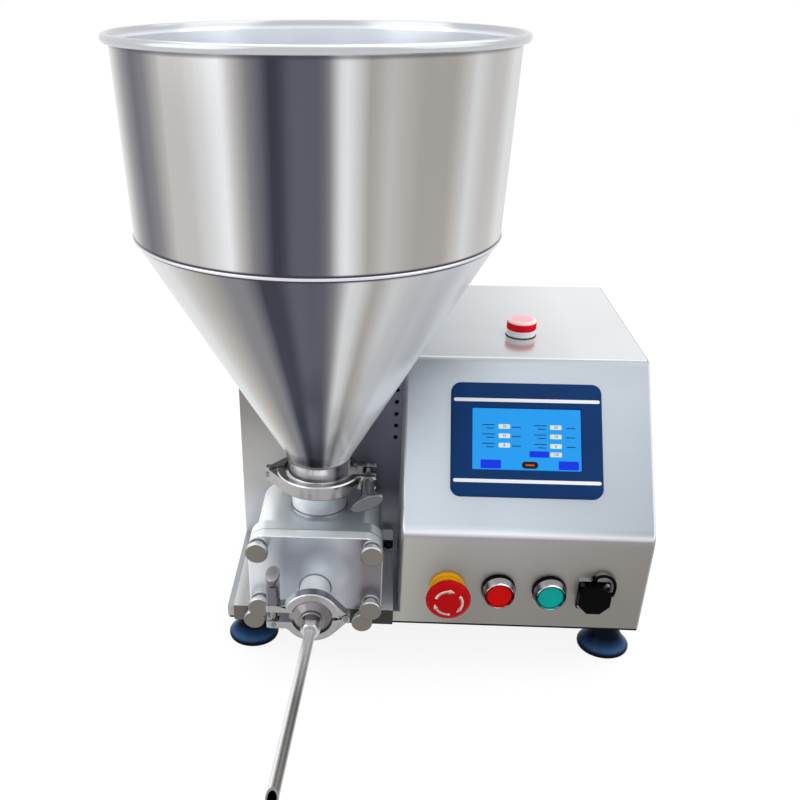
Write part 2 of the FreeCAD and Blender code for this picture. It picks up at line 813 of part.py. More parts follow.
def plate_knob(index):
    return knob(plate_knob_x[index], plate_knob_height, plate_front, plate_knob_reach, plate_knob_thick,
            knob_radius - 0.5,
                plate_shank_radius, plate_shank_length)


# ---------------------------------------------------------------- pump
def ferrule(radius, tube_r, bore, height, up):
    """Clamp ferrule: its face lies at height 0, its tube runs to height; up is +1 or -1."""
    edge = ferrule_edge
    bevel = (radius - tube_r) * math.tan(math.radians(ferrule_angle))
    points = [(bore, 0), (radius, 0), (radius, edge), (tube_r, edge + bevel), (tube_r, height),
            (bore, height)]
    return [(r, up * h) for r, h in points]


def chamber(start, end, radius):
    """Figure-of-eight space of the two rotors."""
    return fuse(rod(drive_x, start, pump_middle, radius, end - start),
            rod(idler_x, start, pump_middle, radius, end - start))


def pump_body():
    flange = pump_block(pump_width, pump_height, pump_corner, body_front, body_front + flange_thick)
    rear = pump_block(pump_width - 2 * body_inset, pump_height - body_inset, pump_corner + 6,
            body_front + flange_thick - 1, body_back)
    joint = inlet_joint - clamp_gasket / 2
    neck = revolved(ferrule(ferrule_radius, neck_radius, neck_radius - tube_wall,
            joint - pump_top + body_inset + 3, -1), V(pump_x, hopper_y, joint))
    body = fuse(flange, rear, neck)
    bore = neck_radius - tube_wall
    port_foot = pump_middle + port_rise
    port = rod(pump_x, hopper_y, port_foot, bore, inlet_joint - port_foot + 1, V(0, 0, 1))
    throat = box(pump_x - throat_width / 2, pump_x + throat_width / 2, body_front + throat_wall, hopper_y,
            pump_middle + throat_low, pump_middle + throat_high)
    cuts = [chamber(body_front - 1, chamber_back, chamber_radius), port, throat]
    outer = drive_shaft_radius + bush_wall
    cuts.append(rod(drive_x, chamber_back - 1, pump_middle, outer, bush_length + seal_length + 1))
    cuts.append(rod(idler_x, chamber_back - 1, pump_middle, outer, bush_length + 1))
    cuts.append(rod(drive_x, chamber_back, pump_middle, drive_shaft_radius + 2,
            body_back - chamber_back + 1))
    shank = knob_shank_radius + slip
    for side in (-1, 1):
        for level in (-1, 1):
            x, z = cover_knob_place(side, level)
            cuts.append(rod(x, body_front - 1, z, shank, flange_thick + 1))
    return body.cut(cuts)


def pump_gasket():
    sheet_ring = pump_block(pump_width - 3, pump_height - 1.5, pump_corner - 1.5, gasket_front, body_front)
    holes = [chamber(gasket_front - 1, body_front + 1, chamber_radius)]
    for side in (-1, 1):
        for level in (-1, 1):
            x, z = cover_knob_place(side, level)
            holes.append(rod(x, gasket_front - 1, z, knob_shank_radius + bolt_gap, gasket_thick + 2))
    return sheet_ring.cut(holes)


def pump_cover():
    plate = pump_block(pump_width, pump_height, pump_corner, pump_front, gasket_front)
    plate = eased(plate, 1.0, lambda e: e.BoundBox.YMax < pump_front + 1e-6)
    face = outlet_joint + clamp_gasket / 2
    bore = outlet_tube_radius - tube_wall
    spout = revolved(ferrule(outlet_ferrule_radius, outlet_tube_radius, bore, pump_front - face + 2, 1),
            V(pump_x, face, outlet_height), V(0, 1, 0))
    cover = fuse(plate, spout)
    cuts = [rod(pump_x, face - 1, outlet_height, bore, gasket_front - face + 2)]
    pocket = drive_shaft_radius + bush_wall
    for x in (drive_x, idler_x):
        cuts.append(rod(x, gasket_front - cover_bush_length, pump_middle, pocket, cover_bush_length + 1))
    for side in (-1, 1):
        for level in (-1, 1):
            x, z = cover_knob_place(side, level)
            cuts.append(rod(x, pump_front - 1, z, knob_shank_radius + bolt_gap, cover_thick + 2))
    return cover.cut(cuts)


def lobed_outline(lobes, shrink, phase):
    """Conjugate rotor outline: epicycloid tips and hypocycloid roots on one pitch circle."""
    pitch = rotor_spacing / 2
    roll = pitch / (2 * lobes)
    points = []
    steps = 12
    for half in range(2 * lobes):
        outward = half % 2 == 0
        for i in range(steps):
            first = half * math.pi / lobes
            a = (half + i / steps) * math.pi / lobes
            side = 1 if outward else -1
            reach = pitch + side * roll
            rolled = reach / roll * (a - first) + side * first
            x = reach * math.cos(a) - side * roll * math.cos(rolled)
            y = reach * math.sin(a) - roll * math.sin(rolled)
            radius = math.hypot(x, y) - shrink
            angle = math.atan2(y, x) + phase
            points.append(V(radius * math.cos(angle), 0, radius * math.sin(angle)))
    curve = Part.BSplineCurve()
    curve.interpolate(points, PeriodicFlag=True)
    return Part.Wire([curve.toShape()])


def rotor(x, phase):
    """Pump rotor on its shaft; a phase of half a lobe puts its roots at the other's tips."""
    start = body_front + seat
    body = Part.Face(lobed_outline(rotor_lobes, rotor_clearance, phase)).extrude(V(0, rotor_length, 0))
    body.translate(V(x, start, pump_middle))
    return body.cut(rod(x, start - 1, pump_middle, drive_shaft_radius, rotor_length + 2))


def shaft(x, end):
    start = gasket_front - cover_bush_length + 0.5
    return rod(x, start, pump_middle, drive_shaft_radius, end - start)


def bush(x, start, length):
    return tube(x, start, pump_middle, drive_shaft_radius + bush_wall, drive_shaft_radius + slip, length)


def shaft_bushes():
    """Plain bushes: two in the cover, two in the body."""
    bushes = []
    for x in (drive_x, idler_x):
        bushes.append(bush(x, gasket_front - cover_bush_length, cover_bush_length))
        bushes.append(bush(x, chamber_back, bush_length))
    return Part.makeCompound(bushes)


def shaft_seal():
    """Lip seal behind the drive shaft's rear bush."""
    return bush(drive_x, chamber_back + bush_length, seal_length)


def pump_eye():
    """Small wire eye on a foot, on the right side of the pump's flange."""
    side = pump_x + pump_width / 2
    foot = rod(side, eye_y, eye_height, 2 * eye_wire, 1.0, V(1, 0, 0))
    centre = V(side + 2.0 + eye_radius, eye_y, eye_height)
    shank = rod(side, eye_y, eye_height, eye_wire, 2.4, V(1, 0, 0))
    ring = Part.makeTorus(eye_radius, eye_wire, centre, V(0, 1, 0))
    return fuse(foot, shank, ring)


# ---------------------------------------------------------------- drive train in the cabinet
def drive_housing():
    """Spacer between the pump's back and the wall of the bay, round the drive shaft."""
    length = bay_depth - body_back
    return tube(drive_x, body_back, pump_middle, housing_radius, housing_radius - 6, length)


def coupling_start():
    return bay_depth + sheet + 4


def bracket_front():
    return coupling_start() + coupling_length + 10


def drive_shaft():
    return shaft(drive_x, coupling_start() + coupling_length / 2 - coupling_gap / 2)


def shaft_coupling():
    """Two hubs with a cushioned spider between them, and the gearbox's output shaft."""
    start = coupling_start()
    hub = (coupling_length - coupling_gap) / 2
    front_hub = tube(drive_x, start, pump_middle, coupling_radius, drive_shaft_radius, hub)
    spider = rod(drive_x, start + hub, pump_middle, coupling_radius - 2, coupling_gap)
    rear_hub = rod(drive_x, start + hub + coupling_gap, pump_middle, coupling_radius, hub)
    output = rod(drive_x, start + coupling_length - 1, pump_middle, output_radius,
            bracket_front() + bracket_thick + output_reach - start - coupling_length + 1)
    return fuse(front_hub, spider, rear_hub, output)


def motor_bracket():
    y = bracket_front()
    w = bracket_width / 2
    plate = box(drive_x - w, drive_x + w, y, y + bracket_thick, underside,
            pump_middle + gearbox_side / 2 + 4)
    foot = box(drive_x - w, drive_x + w, y + bracket_thick - 1, y + gearbox_length, underside,
            underside + bracket_thick)
    return fuse(plate, foot).cut(rod(drive_x, y - 1, pump_middle, 18, bracket_thick + 2))


def gear_motor():
    y = bracket_front() + bracket_thick
    s = gearbox_side / 2
    gearbox = box(drive_x - s, drive_x + s, y, y + gearbox_length, pump_middle - s, pump_middle + s)
    motor_end = cabinet_depth - rear_recess - sheet - motor_rear_gap
    motor = rod(drive_x, y + gearbox_length - 1, pump_middle, motor_radius,
            motor_end - y - gearbox_length + 1)
    bore = rod(drive_x, y - 1, pump_middle, output_radius + slip, output_reach + 2)
    return fuse(gearbox, motor).cut(bore)


def power_supply():
    w, d, h = supply_size
    x = sheet + supply_gap
    y = cabinet_depth - rear_recess - 2 * sheet - rear_flange - d
    return box(x, x + w, y, y + d, underside, underside + h)


def power_inlet():
    face = cabinet_depth - rear_recess
    w, h = inlet_size
    fit = 0.3
    body = box(inlet_x - w / 2 + fit, inlet_x + w / 2 - fit, face - inlet_depth, face,
            inlet_height - h / 2 + fit, inlet_height + h / 2 - fit)
    plate = box(inlet_x - w / 2 - 4, inlet_x + w / 2 + 4, face, face + rear_recess - 0.3,
            inlet_height - h / 2 - 3, inlet_height + h / 2 + 3)
    well = box(inlet_x - 12, inlet_x + 12, face - inlet_depth + 5, face + rear_recess, inlet_height - 8,
            inlet_height + 8)
    pins = [box(inlet_x + p - 1, inlet_x + p + 1, face - inlet_depth + 4, face - 6, inlet_height + q - 2,
            inlet_height + q + 2)
            for p, q in ((-7, -2), (0, 2), (7, -2))]
    return fuse(fuse(body, plate).cut(well), *pins)


# ---------------------------------------------------------------- hopper
def hopper():
    """Spun shell: rolled lip, wall, seam bead, cone and a ferrule at its foot."""
    w = hopper_wall
    foot = inlet_joint + clamp_gasket / 2
    bore = neck_radius - tube_wall
    bevel = (ferrule_radius - cone_foot_radius) * math.tan(math.radians(ferrule_angle))
    outer = [(bore, foot), (ferrule_radius, foot), (ferrule_radius, foot + ferrule_edge),
            (cone_foot_radius, foot + ferrule_edge + bevel),
             (cone_foot_radius, cone_foot_height), (seam_radius, seam_height), (rim_radius,
                     hopper_top - lip_roll)]
    inner = [(rim_radius - w, hopper_top - lip_roll), (seam_radius - w, seam_height),
            (bore, cone_foot_height + 2)]
    shell = revolved(outer + inner)
    lip = Part.makeTorus(rim_radius + lip_roll - w / 2, lip_roll, V(0, 0, hopper_top - lip_roll),
            V(0, 0, 1))
    hollow = Part.makeCylinder(rim_radius - w, 20, V(0, 0, hopper_top - 15))
    bead = Part.makeTorus(seam_radius, seam_bead, V(0, 0, seam_height), V(0, 0, 1))
    shell = fuse(shell, lip.cut(hollow), bead.common(outside_of_seam()))
    shell.translate(V(pump_x, hopper_y, 0))
    return shell


def outside_of_seam():
    """Ring that keeps only the half of the seam bead outside the wall."""
    high = 2 * seam_bead
    ring = Part.makeCylinder(seam_radius + 2 * seam_bead, high, V(0, 0, seam_height - seam_bead))
    return ring.cut(Part.makeCylinder(seam_radius - hopper_wall / 2, high,
            V(0, 0, seam_height - seam_bead)))


# ---------------------------------------------------------------- clamps
class Clamp:
    """Two-jaw pipe clamp in its own frame.

    The pipe runs along Z and the jaws part along X: the hinge is at -X, the ears at +X.
    The swing bolt is pinned in the ear of the +Y jaw and its nut bears on the ear of the -Y jaw.
    """

    def __init__(self, lip, outer, height, hinge_out, ear_gap, ear_out, ear_thick, bolt_out, placement):
        self.lip = lip
        self.outer = outer
        self.height = height
        self.hinge_out = hinge_out
        self.ear_out = ear_out
        self.bolt_out = bolt_out
        self.placement = placement
        self.chamfer = clamp_chamfer * height
        self.ear_inner = ear_gap / 2
        self.pivot_y = self.ear_inner + ear_thick / 2
        self.ear_face = self.ear_inner + ear_thick
        self.nut_seat = self.pivot_y + self.ear_face + seat

    def placed(self, shape):
        shape = shape.copy()
        shape.Placement = self.placement.multiply(shape.Placement)
        return shape

    def column(self, radius, x=0.0, y=0.0):
        """Cylinder along the pipe, through the whole clamp and a little beyond."""
        return Part.makeCylinder(radius, self.height + 2, V(x, y, -self.height / 2 - 1))

    def layer(self, points, margin):
        """Plate over an outline in X and Y, higher than the clamp by a margin at top and bottom."""
        low = -self.height / 2 - margin
        outline = [V(x, y, low) for x, y in points]
        return Part.Face(Part.makePolygon(outline + outline[:1])).extrude(V(0, 0, -2 * low))

    def ring(self):
        """Ring with a V groove that holds the two ferrules' edges."""
        h = self.height / 2
        slope = math.tan(math.radians(ferrule_angle))
        edge = clamp_gasket / 2 + ferrule_edge + groove_clearance
        inner = self.lip - clamp_lip
        floor = self.lip + groove_room
        at_lip = edge + clamp_lip * slope
        at_floor = edge - groove_room * slope
        points = [(inner, -h), (self.outer - self.chamfer, -h), (self.outer, -h + self.chamfer)]
        points += [(self.outer, h - self.chamfer), (self.outer - self.chamfer, h), (inner, h)]
        points += [(inner, at_lip), (floor, at_floor), (floor, -at_floor), (inner, -at_lip)]
        return revolved(points)

    def half_space(self, side):
        big = 2 * self.ear_out
        low, high = (jaw_gap, big) if side > 0 else (-big, -jaw_gap)
        return box(-big, big, low, high, -big, big)

    def tail(self):
        """Taper from the ring's outside to the hinge, along the lines that touch both."""
        lean = math.asin((self.outer - knuckle_radius) / self.hinge_out)
        x, y = -math.sin(lean), math.cos(lean)
        upper = [(self.outer * x, self.outer * y), (knuckle_radius * x - self.hinge_out, knuckle_radius * y)]
        lower = [(across, -along) for across, along in reversed(upper)]
        return self.layer(upper + lower, -self.chamfer).cut(self.column(self.outer - jaw_band))

    def root(self, side):
        """Rounded inner corner between the ring's outside and the outer face of an ear."""
        end = self.bolt_out - nut_hub_radius - nut_room
        rounding = (end ** 2 - self.outer ** 2 + self.ear_face ** 2) / (2 * (self.outer - self.ear_face))
        y = self.ear_face + rounding
        share = self.outer / (self.outer + rounding)
        inside = self.ear_face - 1
        points = [(end * share, y * share), (end, self.ear_face), (end, inside), (end * share - 1, inside)]
        block = self.layer([(across, side * along) for across, along in points], -self.chamfer)
        return block.cut(self.column(rounding + 0.15, end, side * y))

    def ear(self, side):
        h = self.height / 2
        low, high = sorted((side * self.ear_inner, side * self.ear_face))
        ear = box(self.outer - jaw_band - jaw_overlap, self.ear_out, low, high, -h, h)
        ear = eased(ear, ear_rounding,
                lambda e: e.BoundBox.XMin > self.ear_out - 1e-6 and e.BoundBox.ZLength < 1e-6)
        ear = ear.cut(self.column(self.outer - jaw_band))
        if side < 0:
            swing = Part.makeCylinder(self.pivot_y + self.ear_face, self.height,
                    V(self.bolt_out, self.pivot_y, -h))
            ear = ear.common(swing)
        return ear

    def hinge(self, side):
        """Knuckles of one jaw: the middle one, or the two beside it."""
        third = self.height / 3
        low, high = sorted((jaw_gap * side, hinge_arm * side))
        h = self.height / 2
        end = jaw_overlap - self.outer
        arm = box(-self.hinge_out - knuckle_radius, end, low, high, -h, h)
        knuckle = Part.makeCylinder(knuckle_radius, self.height, V(-self.hinge_out, 0, -h))
        hinge = fuse(arm.cut(self.column(self.outer - jaw_band)), knuckle)
        half = third / 2 - knuckle_play if side < 0 else third / 2
        middle = box(-self.hinge_out - hinge_arm - 1, end, -hinge_arm - 1, hinge_arm + 1, -half, half)
        return hinge.common(middle) if side < 0 else hinge.cut(middle)

    def parting(self):
        """Wedge between the jaws from the hinge to the ring's inside, and the opening between the ears."""
        start = -self.hinge_out + knuckle_radius + knuckle_room
        inside = -self.lip + clamp_lip + 1
        upper = [(start, jaw_gap), (inside, jaw_gap_inside)]
        wedge = self.layer(upper + [(across, -along) for across, along in reversed(upper)], 1)
        h = self.height / 2 + 1
        return [wedge, box(0, self.outer + 1, -self.ear_inner, self.ear_inner, -h, h)]

    def jaw(self, side):
        body = fuse(self.ring(), self.tail()).common(self.half_space(side))
        body = body.cut([self.column(knuckle_radius + knuckle_room, -self.hinge_out)] + self.parting())
        body = fuse(body, self.root(side), self.ear(side), self.hinge(side))
        low, high = sorted((side * self.ear_inner, side * self.ear_face))
        room = bolt_radius + bolt_gap
        cuts = [self.column(pin_radius, -self.hinge_out)]
        if side > 0:
            eye = bolt_radius + eye_wall
            cuts.append(self.column(pin_radius, self.bolt_out, self.pivot_y))
            cuts.append(box(self.bolt_out - eye - 1, self.ear_out + 1, low - 1, high + 1, -room, room))
        else:
            slot = self.bolt_out - bolt_radius - 1
            cuts.append(box(slot, self.ear_out + 1, low - 1, high + 1, -room, room))
        return self.placed(body.cut(cuts))

    def bolt(self, hub_length):
        """Swing bolt with an eye round the pivot pin."""
        half_eye = bolt_radius - eye_play
        eye = Part.makeCylinder(bolt_radius + eye_wall, 2 * half_eye,
                V(self.bolt_out, self.pivot_y, -half_eye))
        eye = eye.cut(self.column(pin_radius + slip, self.bolt_out, self.pivot_y))
        start = pin_radius + shank_start
        length = self.nut_seat + hub_length + wing_thick - nut_end_wall - seat - start
        shank = Part.makeCylinder(bolt_radius, length, V(self.bolt_out, self.pivot_y - start, 0),
                V(0, -1, 0))
        return self.placed(fuse(eye, shank))

    def pins(self):
        low = -self.height / 2 - pin_overhang
        length = self.height + 2 * pin_overhang
        hinge = Part.makeCylinder(pin_radius, length, V(-self.hinge_out, 0, low))
        pivot = Part.makeCylinder(pin_radius, length, V(self.bolt_out, self.pivot_y, low))
        return [self.placed(hinge), self.placed(pivot)]

    def gasket(self):
        flat = Part.makeCylinder(self.lip, clamp_gasket, V(0, 0, -clamp_gasket / 2))
        return self.placed(flat.cut(self.column(self.lip - gasket_width)))

    def nut(self, hub_length, span, turn):
        """Wing nut: a round hub that flares into a thick oval wing, turned about the bolt."""
        top = hub_length + wing_thick
        hub = Part.makeCylinder(nut_hub_radius, hub_length + 1, V(0, 0, 0))
        throat = Part.Wire(Part.Circle(V(0, 0, hub_length), V(0, 0, 1), nut_hub_radius - 0.5).toShape())
        oval = Part.Wire(Part.Ellipse(V(0, 0, top - wing_rim), span / 2, wing_width / 2).toShape())
        flare = Part.makeLoft([throat, oval], True, True)
        rim = Part.Face(oval).extrude(V(0, 0, wing_rim))
        rim = eased(rim, rim_bevel, lambda e: e.BoundBox.ZMin > top - 1e-6)
        bore = Part.makeCylinder(bolt_radius + slip, top - nut_end_wall + 1, V(0, 0, -1))
        nut = fuse(hub, flare, rim).cut(bore)
        along_bolt = FreeCAD.Rotation(V(1, 0, 0), 90)
        spin = FreeCAD.Rotation(V(0, 0, 1), turn)
        start = V(self.bolt_out, self.pivot_y - self.nut_seat, 0)
        nut.Placement = FreeCAD.Placement(start, along_bolt.multiply(spin))
        return self.placed(nut)


def inlet_clamp():
    place = FreeCAD.Placement(V(pump_x, hopper_y, inlet_joint), FreeCAD.Rotation())
    return Clamp(ferrule_radius, clamp_radius, clamp_height, inlet_hinge_out, inlet_ear_gap, inlet_ear_out,
            inlet_ear_thick, inlet_bolt_out, place)


def outlet_clamp():
    turn = FreeCAD.Rotation(V(-1, 0, 0), V(0, 0, -1), V(0, -1, 0), "ZXY")
    place = FreeCAD.Placement(V(pump_x, outlet_joint, outlet_height), turn)
    return Clamp(outlet_ferrule_radius, outlet_clamp_radius, outlet_clamp_height, outlet_hinge_out,
            outlet_ear_gap, outlet_ear_out, outlet_ear_thick, outlet_bolt_out, place)


# ---------------------------------------------------------------- nozzle
def nozzle_cap():
    """Ferrule cap with a stepped boss and a threaded neck for the nozzle's nut."""
    face = clamp_gasket / 2
    edge = face + ferrule_edge
    radius = outlet_ferrule_radius
    bore = tube_radius + slip
    rise = edge + cap_rise
    boss = rise + boss_length
    neck = boss + nozzle_neck_length + hex_length * 0.6
    inner = radius - clamp_lip - 0.8
    bevel = (radius - inner) * math.tan(math.radians(ferrule_angle))
    points = [(bore, face), (radius, face), (radius, edge), (inner, edge + bevel),
            (boss_radius + 1.5, rise), (boss_radius, rise),
              (boss_radius, boss - 0.8), (boss_radius - 0.8, boss), (nozzle_neck_radius,
                      boss), (nozzle_neck_radius, neck), (bore, neck)]
    return revolved(points, V(pump_x, outlet_joint, outlet_height), V(0, -1, 0))


def nozzle_nut():
    radius = hex_flats / 2 / math.cos(math.radians(30))
    nut = prism(6, radius, hex_length, 0)
    cone = Part.makeCone(radius - 1.2 + hex_length, radius - 1.2, hex_length, V(0, 0, 0))
    nut = nut.common(cone)
    nut = nut.cut([Part.makeCylinder(nozzle_neck_radius + slip, hex_length * 0.6 + seat + 1, V(0, 0, -1)),
                   Part.makeCylinder(tube_radius + seat, hex_length + 2, V(0, 0, -1))])
    return facing_front(pump_x, neck_front, outlet_height, nut)


def nozzle_tube():
    """Thin tube: straight in its nut, set a few degrees to the left, cut to a slant at the tip."""
    lean = math.radians(nozzle_turn)
    inside = outlet_joint - clamp_gasket / 2 - 1
    bend_start = V(pump_x, hex_front - 0.5, outlet_height)
    start = V(pump_x, inside, outlet_height)
    forward = V(0, -1, 0)
    leaning = V(-math.sin(lean), -math.cos(lean), 0)
    centre = bend_start + V(-nozzle_bend_radius, 0, 0)
    middle = centre + V(nozzle_bend_radius * math.cos(lean / 2), -nozzle_bend_radius * math.sin(lean / 2),
            0)
    bend_end = centre + V(nozzle_bend_radius * math.cos(lean), -nozzle_bend_radius * math.sin(lean), 0)
    run = (bend_end.y - nozzle_tip_y) / math.cos(lean)
    solids = []
    for radius in (tube_radius, tube_radius - nozzle_wall):
        first = Part.makeCylinder(radius, start.y - bend_start.y, start, forward)
        disc = Part.Face(Part.Wire([Part.makeCircle(radius, bend_start, forward)]))
        bend = disc.revolve(centre, V(0, 0, 1), -nozzle_turn)
        last = Part.makeCylinder(radius, run, bend_end, leaning)
        solids.append(first.fuse([bend, last]))
    nozzle = solids[0].cut(solids[1]).removeSplitter()
    tip = bend_end + leaning * run
    slant = math.degrees(math.atan2(2 * tube_radius, tip_cut))
    side = 4 * tip_cut
    knife = Part.makeBox(side, side, side, V(-side / 2, -side / 2, 0))
    heel = tip + V(0, 0, -tube_radius)
    turn = FreeCAD.Rotation(V(0, 0, 1), -nozzle_turn).multiply(FreeCAD.Rotation(V(1, 0, 0), slant))
    knife.Placement = FreeCAD.Placement(heel, turn)
    return nozzle.cut(knife)


# ---------------------------------------------------------------- all pieces
def pieces():
    inlet = inlet_clamp()
    outlet = outlet_clamp()
    half_lobe = math.pi / rotor_lobes
    quarter = math.pi / 2 / rotor_lobes
    return {
        "cabinet_body": cabinet_body(),
        "base_plate": base_plate(),
        "rear_cover": rear_cover(),
        "panel_screws": panel_screws(),
        "rubber_feet": rubber_feet(),
        "foot_studs": foot_studs(),
        "screen_bezel": screen_bezel(),
        "screen_glass": screen_glass(),
        "screen_housing": screen_housing(),
        "estop_collar": estop_collar(),
        "estop_barrel": estop_barrel(),
        "estop_stem": estop_stem(),
        "estop_cap": estop_cap(),
        "button_bases": button_bases(),
        "button_bezels": button_bezels(),
        "stop_button": push_button(stop_x),
        "start_button": push_button(start_x),
        "contact_blocks": contact_blocks(),
        "panel_nuts": panel_nuts(),
        "pedal_socket": pedal_socket(),
        "socket_cap": socket_cap(),
        "socket_tether": socket_tether(),
        "signal_lamp_base": signal_lamp_base(),
        "signal_lamp_lens": signal_lamp_lens(),
        "pump_plate": pump_plate(),
        "plate_knob_left": plate_knob(0),
        "plate_knob_right": plate_knob(1),
        "pump_body": pump_body(),
        "pump_seals": Part.makeCompound([pump_gasket(), shaft_seal()]),
        "pump_eye": pump_eye(),
        "pump_cover": pump_cover(),
        "cover_knob_upper_left": cover_knob(-1, 1),
        "cover_knob_upper_right": cover_knob(1, 1),
        "cover_knob_lower_left": cover_knob(-1, -1),
        "cover_knob_lower_right": cover_knob(1, -1),
        "drive_rotor": rotor(drive_x, -quarter),
        "idler_rotor": rotor(idler_x, half_lobe - quarter),
        "drive_shaft": drive_shaft(),
        "idler_shaft": shaft(idler_x, chamber_back + bush_length - 1),
        "shaft_bushes": shaft_bushes(),
        "drive_housing": drive_housing(),
        "shaft_coupling": shaft_coupling(),
        "gear_motor": gear_motor(),
        "motor_bracket": motor_bracket(),
        "hopper": hopper(),
        "inlet_jaw_rear": inlet.jaw(1),
        "inlet_jaw_front": inlet.jaw(-1),
        "inlet_bolt": inlet.bolt(inlet_nut_hub),
        "inlet_wing_nut": inlet.nut(inlet_nut_hub, inlet_wing_span, inlet_nut_turn),
        "outlet_jaw_lower": outlet.jaw(1),
        "outlet_jaw_upper": outlet.jaw(-1),
        "outlet_bolt": outlet.bolt(outlet_nut_hub),
        "outlet_wing_nut": outlet.nut(outlet_nut_hub, outlet_wing_span, outlet_nut_turn),
        "clamp_pins": Part.makeCompound(inlet.pins() + outlet.pins()),
        "clamp_gaskets": Part.makeCompound([inlet.gasket(), outlet.gasket()]),
        "nozzle_cap": nozzle_cap(),
        "nozzle_nut": nozzle_nut(),
        "nozzle_tube": nozzle_tube(),
        "power_supply": power_supply(),
        "power_inlet": power_inlet(),
    }


def main():
    os.makedirs("parts", exist_ok=True)
    for name, shape in pieces().items():
        shape = shape.copy()
        shape.translate(-ORIGIN)
        shape.exportStep(os.path.join("parts", name + ".step"))
        volume = sum(solid.Volume for solid in shape.Solids)
        print(name, len(shape.Solids), round(volume, 1), "valid" if shape.isValid() else "INVALID")


if __name__ == "__main__":
    main()
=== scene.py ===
"""Looks of a bench-top filling machine: hopper, gear pump, nozzle and control box.

Every sub-assembly is a class.  Its fields are sizes in millimetres of the machine, measured from
the control box's left wall (X), its front panel (Y, towards the back) and the table (Z).
"""

import json
import logging
import math
from dataclasses import dataclass
from enum import Enum
from typing import ClassVar, Iterable, Sequence

import bmesh
import bpy
from mathutils import Matrix, Vector


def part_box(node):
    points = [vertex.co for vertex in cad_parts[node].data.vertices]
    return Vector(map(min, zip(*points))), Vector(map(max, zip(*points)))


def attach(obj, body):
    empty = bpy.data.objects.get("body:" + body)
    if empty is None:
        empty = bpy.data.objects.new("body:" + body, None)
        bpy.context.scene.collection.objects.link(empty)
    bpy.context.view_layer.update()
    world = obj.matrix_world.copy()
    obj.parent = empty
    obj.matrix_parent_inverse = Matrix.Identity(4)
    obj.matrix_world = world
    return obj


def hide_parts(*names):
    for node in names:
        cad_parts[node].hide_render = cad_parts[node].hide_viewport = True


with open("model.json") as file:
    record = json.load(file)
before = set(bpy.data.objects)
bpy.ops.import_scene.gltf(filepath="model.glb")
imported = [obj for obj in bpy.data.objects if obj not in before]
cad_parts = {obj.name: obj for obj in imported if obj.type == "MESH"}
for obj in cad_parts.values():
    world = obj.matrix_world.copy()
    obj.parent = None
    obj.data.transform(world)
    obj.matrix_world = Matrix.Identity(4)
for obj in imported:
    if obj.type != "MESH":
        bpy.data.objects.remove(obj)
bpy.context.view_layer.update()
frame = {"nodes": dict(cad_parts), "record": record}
LOG = logging.getLogger("filling_machine")

Triple = tuple[float, float, float]
Colour = Triple
Point = tuple[float, float]
Profile = Sequence[Point]
Tones = tuple[tuple[float, Colour], ...]
BMesh = bmesh.types.BMesh
Material = bpy.types.Material
MM = 0.001
WHITE: Colour = (1.0, 1.0, 1.0)
MAIN_BODY = "machine"
UNSEEN_IN_STEEL = ("screen_glass", "panel_plastic", "red_plastic")
NUMBER_OPERATIONS = ("DOT_PRODUCT", "DISTANCE", "LENGTH")
WELD_DISTANCE = 2e-6
FLUTES_FROM = 8.0
SIDEWAYS = 0.7
# Places in the frame, in metres, where the painted light and shade change.
BAY_WALL = 0.07
PUMP_TOP = 0.1428
PUMP_FACE = -0.0430
PUMP_BODY = -0.0300


def srgb(red: int, green: int, blue: int) -> Colour:
    """Linear colour from display levels of 0 to 255.

    Args:
        red, green, blue: display levels.
    Returns:
        The three linear parts.
    """
    def linear(level: int) -> float:
        """Linear value of one display level."""
        part = level / 255
        return part / 12.92 if part <= 0.04045 else ((part + 0.055) / 1.055) ** 2.4
    return linear(red), linear(green), linear(blue)


# ---------------------------------------------------------------- shader nodes
class Value:
    """An output socket that takes part in Python arithmetic."""

    def __init__(self, nodes: "Nodes", socket: bpy.types.NodeSocket) -> None:
        """Wrap an output socket of a node tree."""
        self.nodes = nodes
        self.socket = socket

    def __add__(self, other: "Value | float") -> "Value":
        """Sum."""
        return self.nodes.math("ADD", self, other)

    def __sub__(self, other: "Value | float") -> "Value":
        """Difference."""
        return self.nodes.math("SUBTRACT", self, other)

    def __rsub__(self, other: float) -> "Value":
        """Difference from a number."""
        return self.nodes.math("SUBTRACT", other, self)

    def __mul__(self, other: "Value | float") -> "Value":
        """Product."""
        return self.nodes.math("MULTIPLY", self, other)

    def __truediv__(self, other: "Value | float") -> "Value":
        """Quotient."""
        return self.nodes.math("DIVIDE", self, other)

    def __gt__(self, other: "Value | float") -> "Value":
        """One where this is the greater, else zero."""
        return self.nodes.math("GREATER_THAN", self, other)

    __radd__ = __add__
    __rmul__ = __mul__


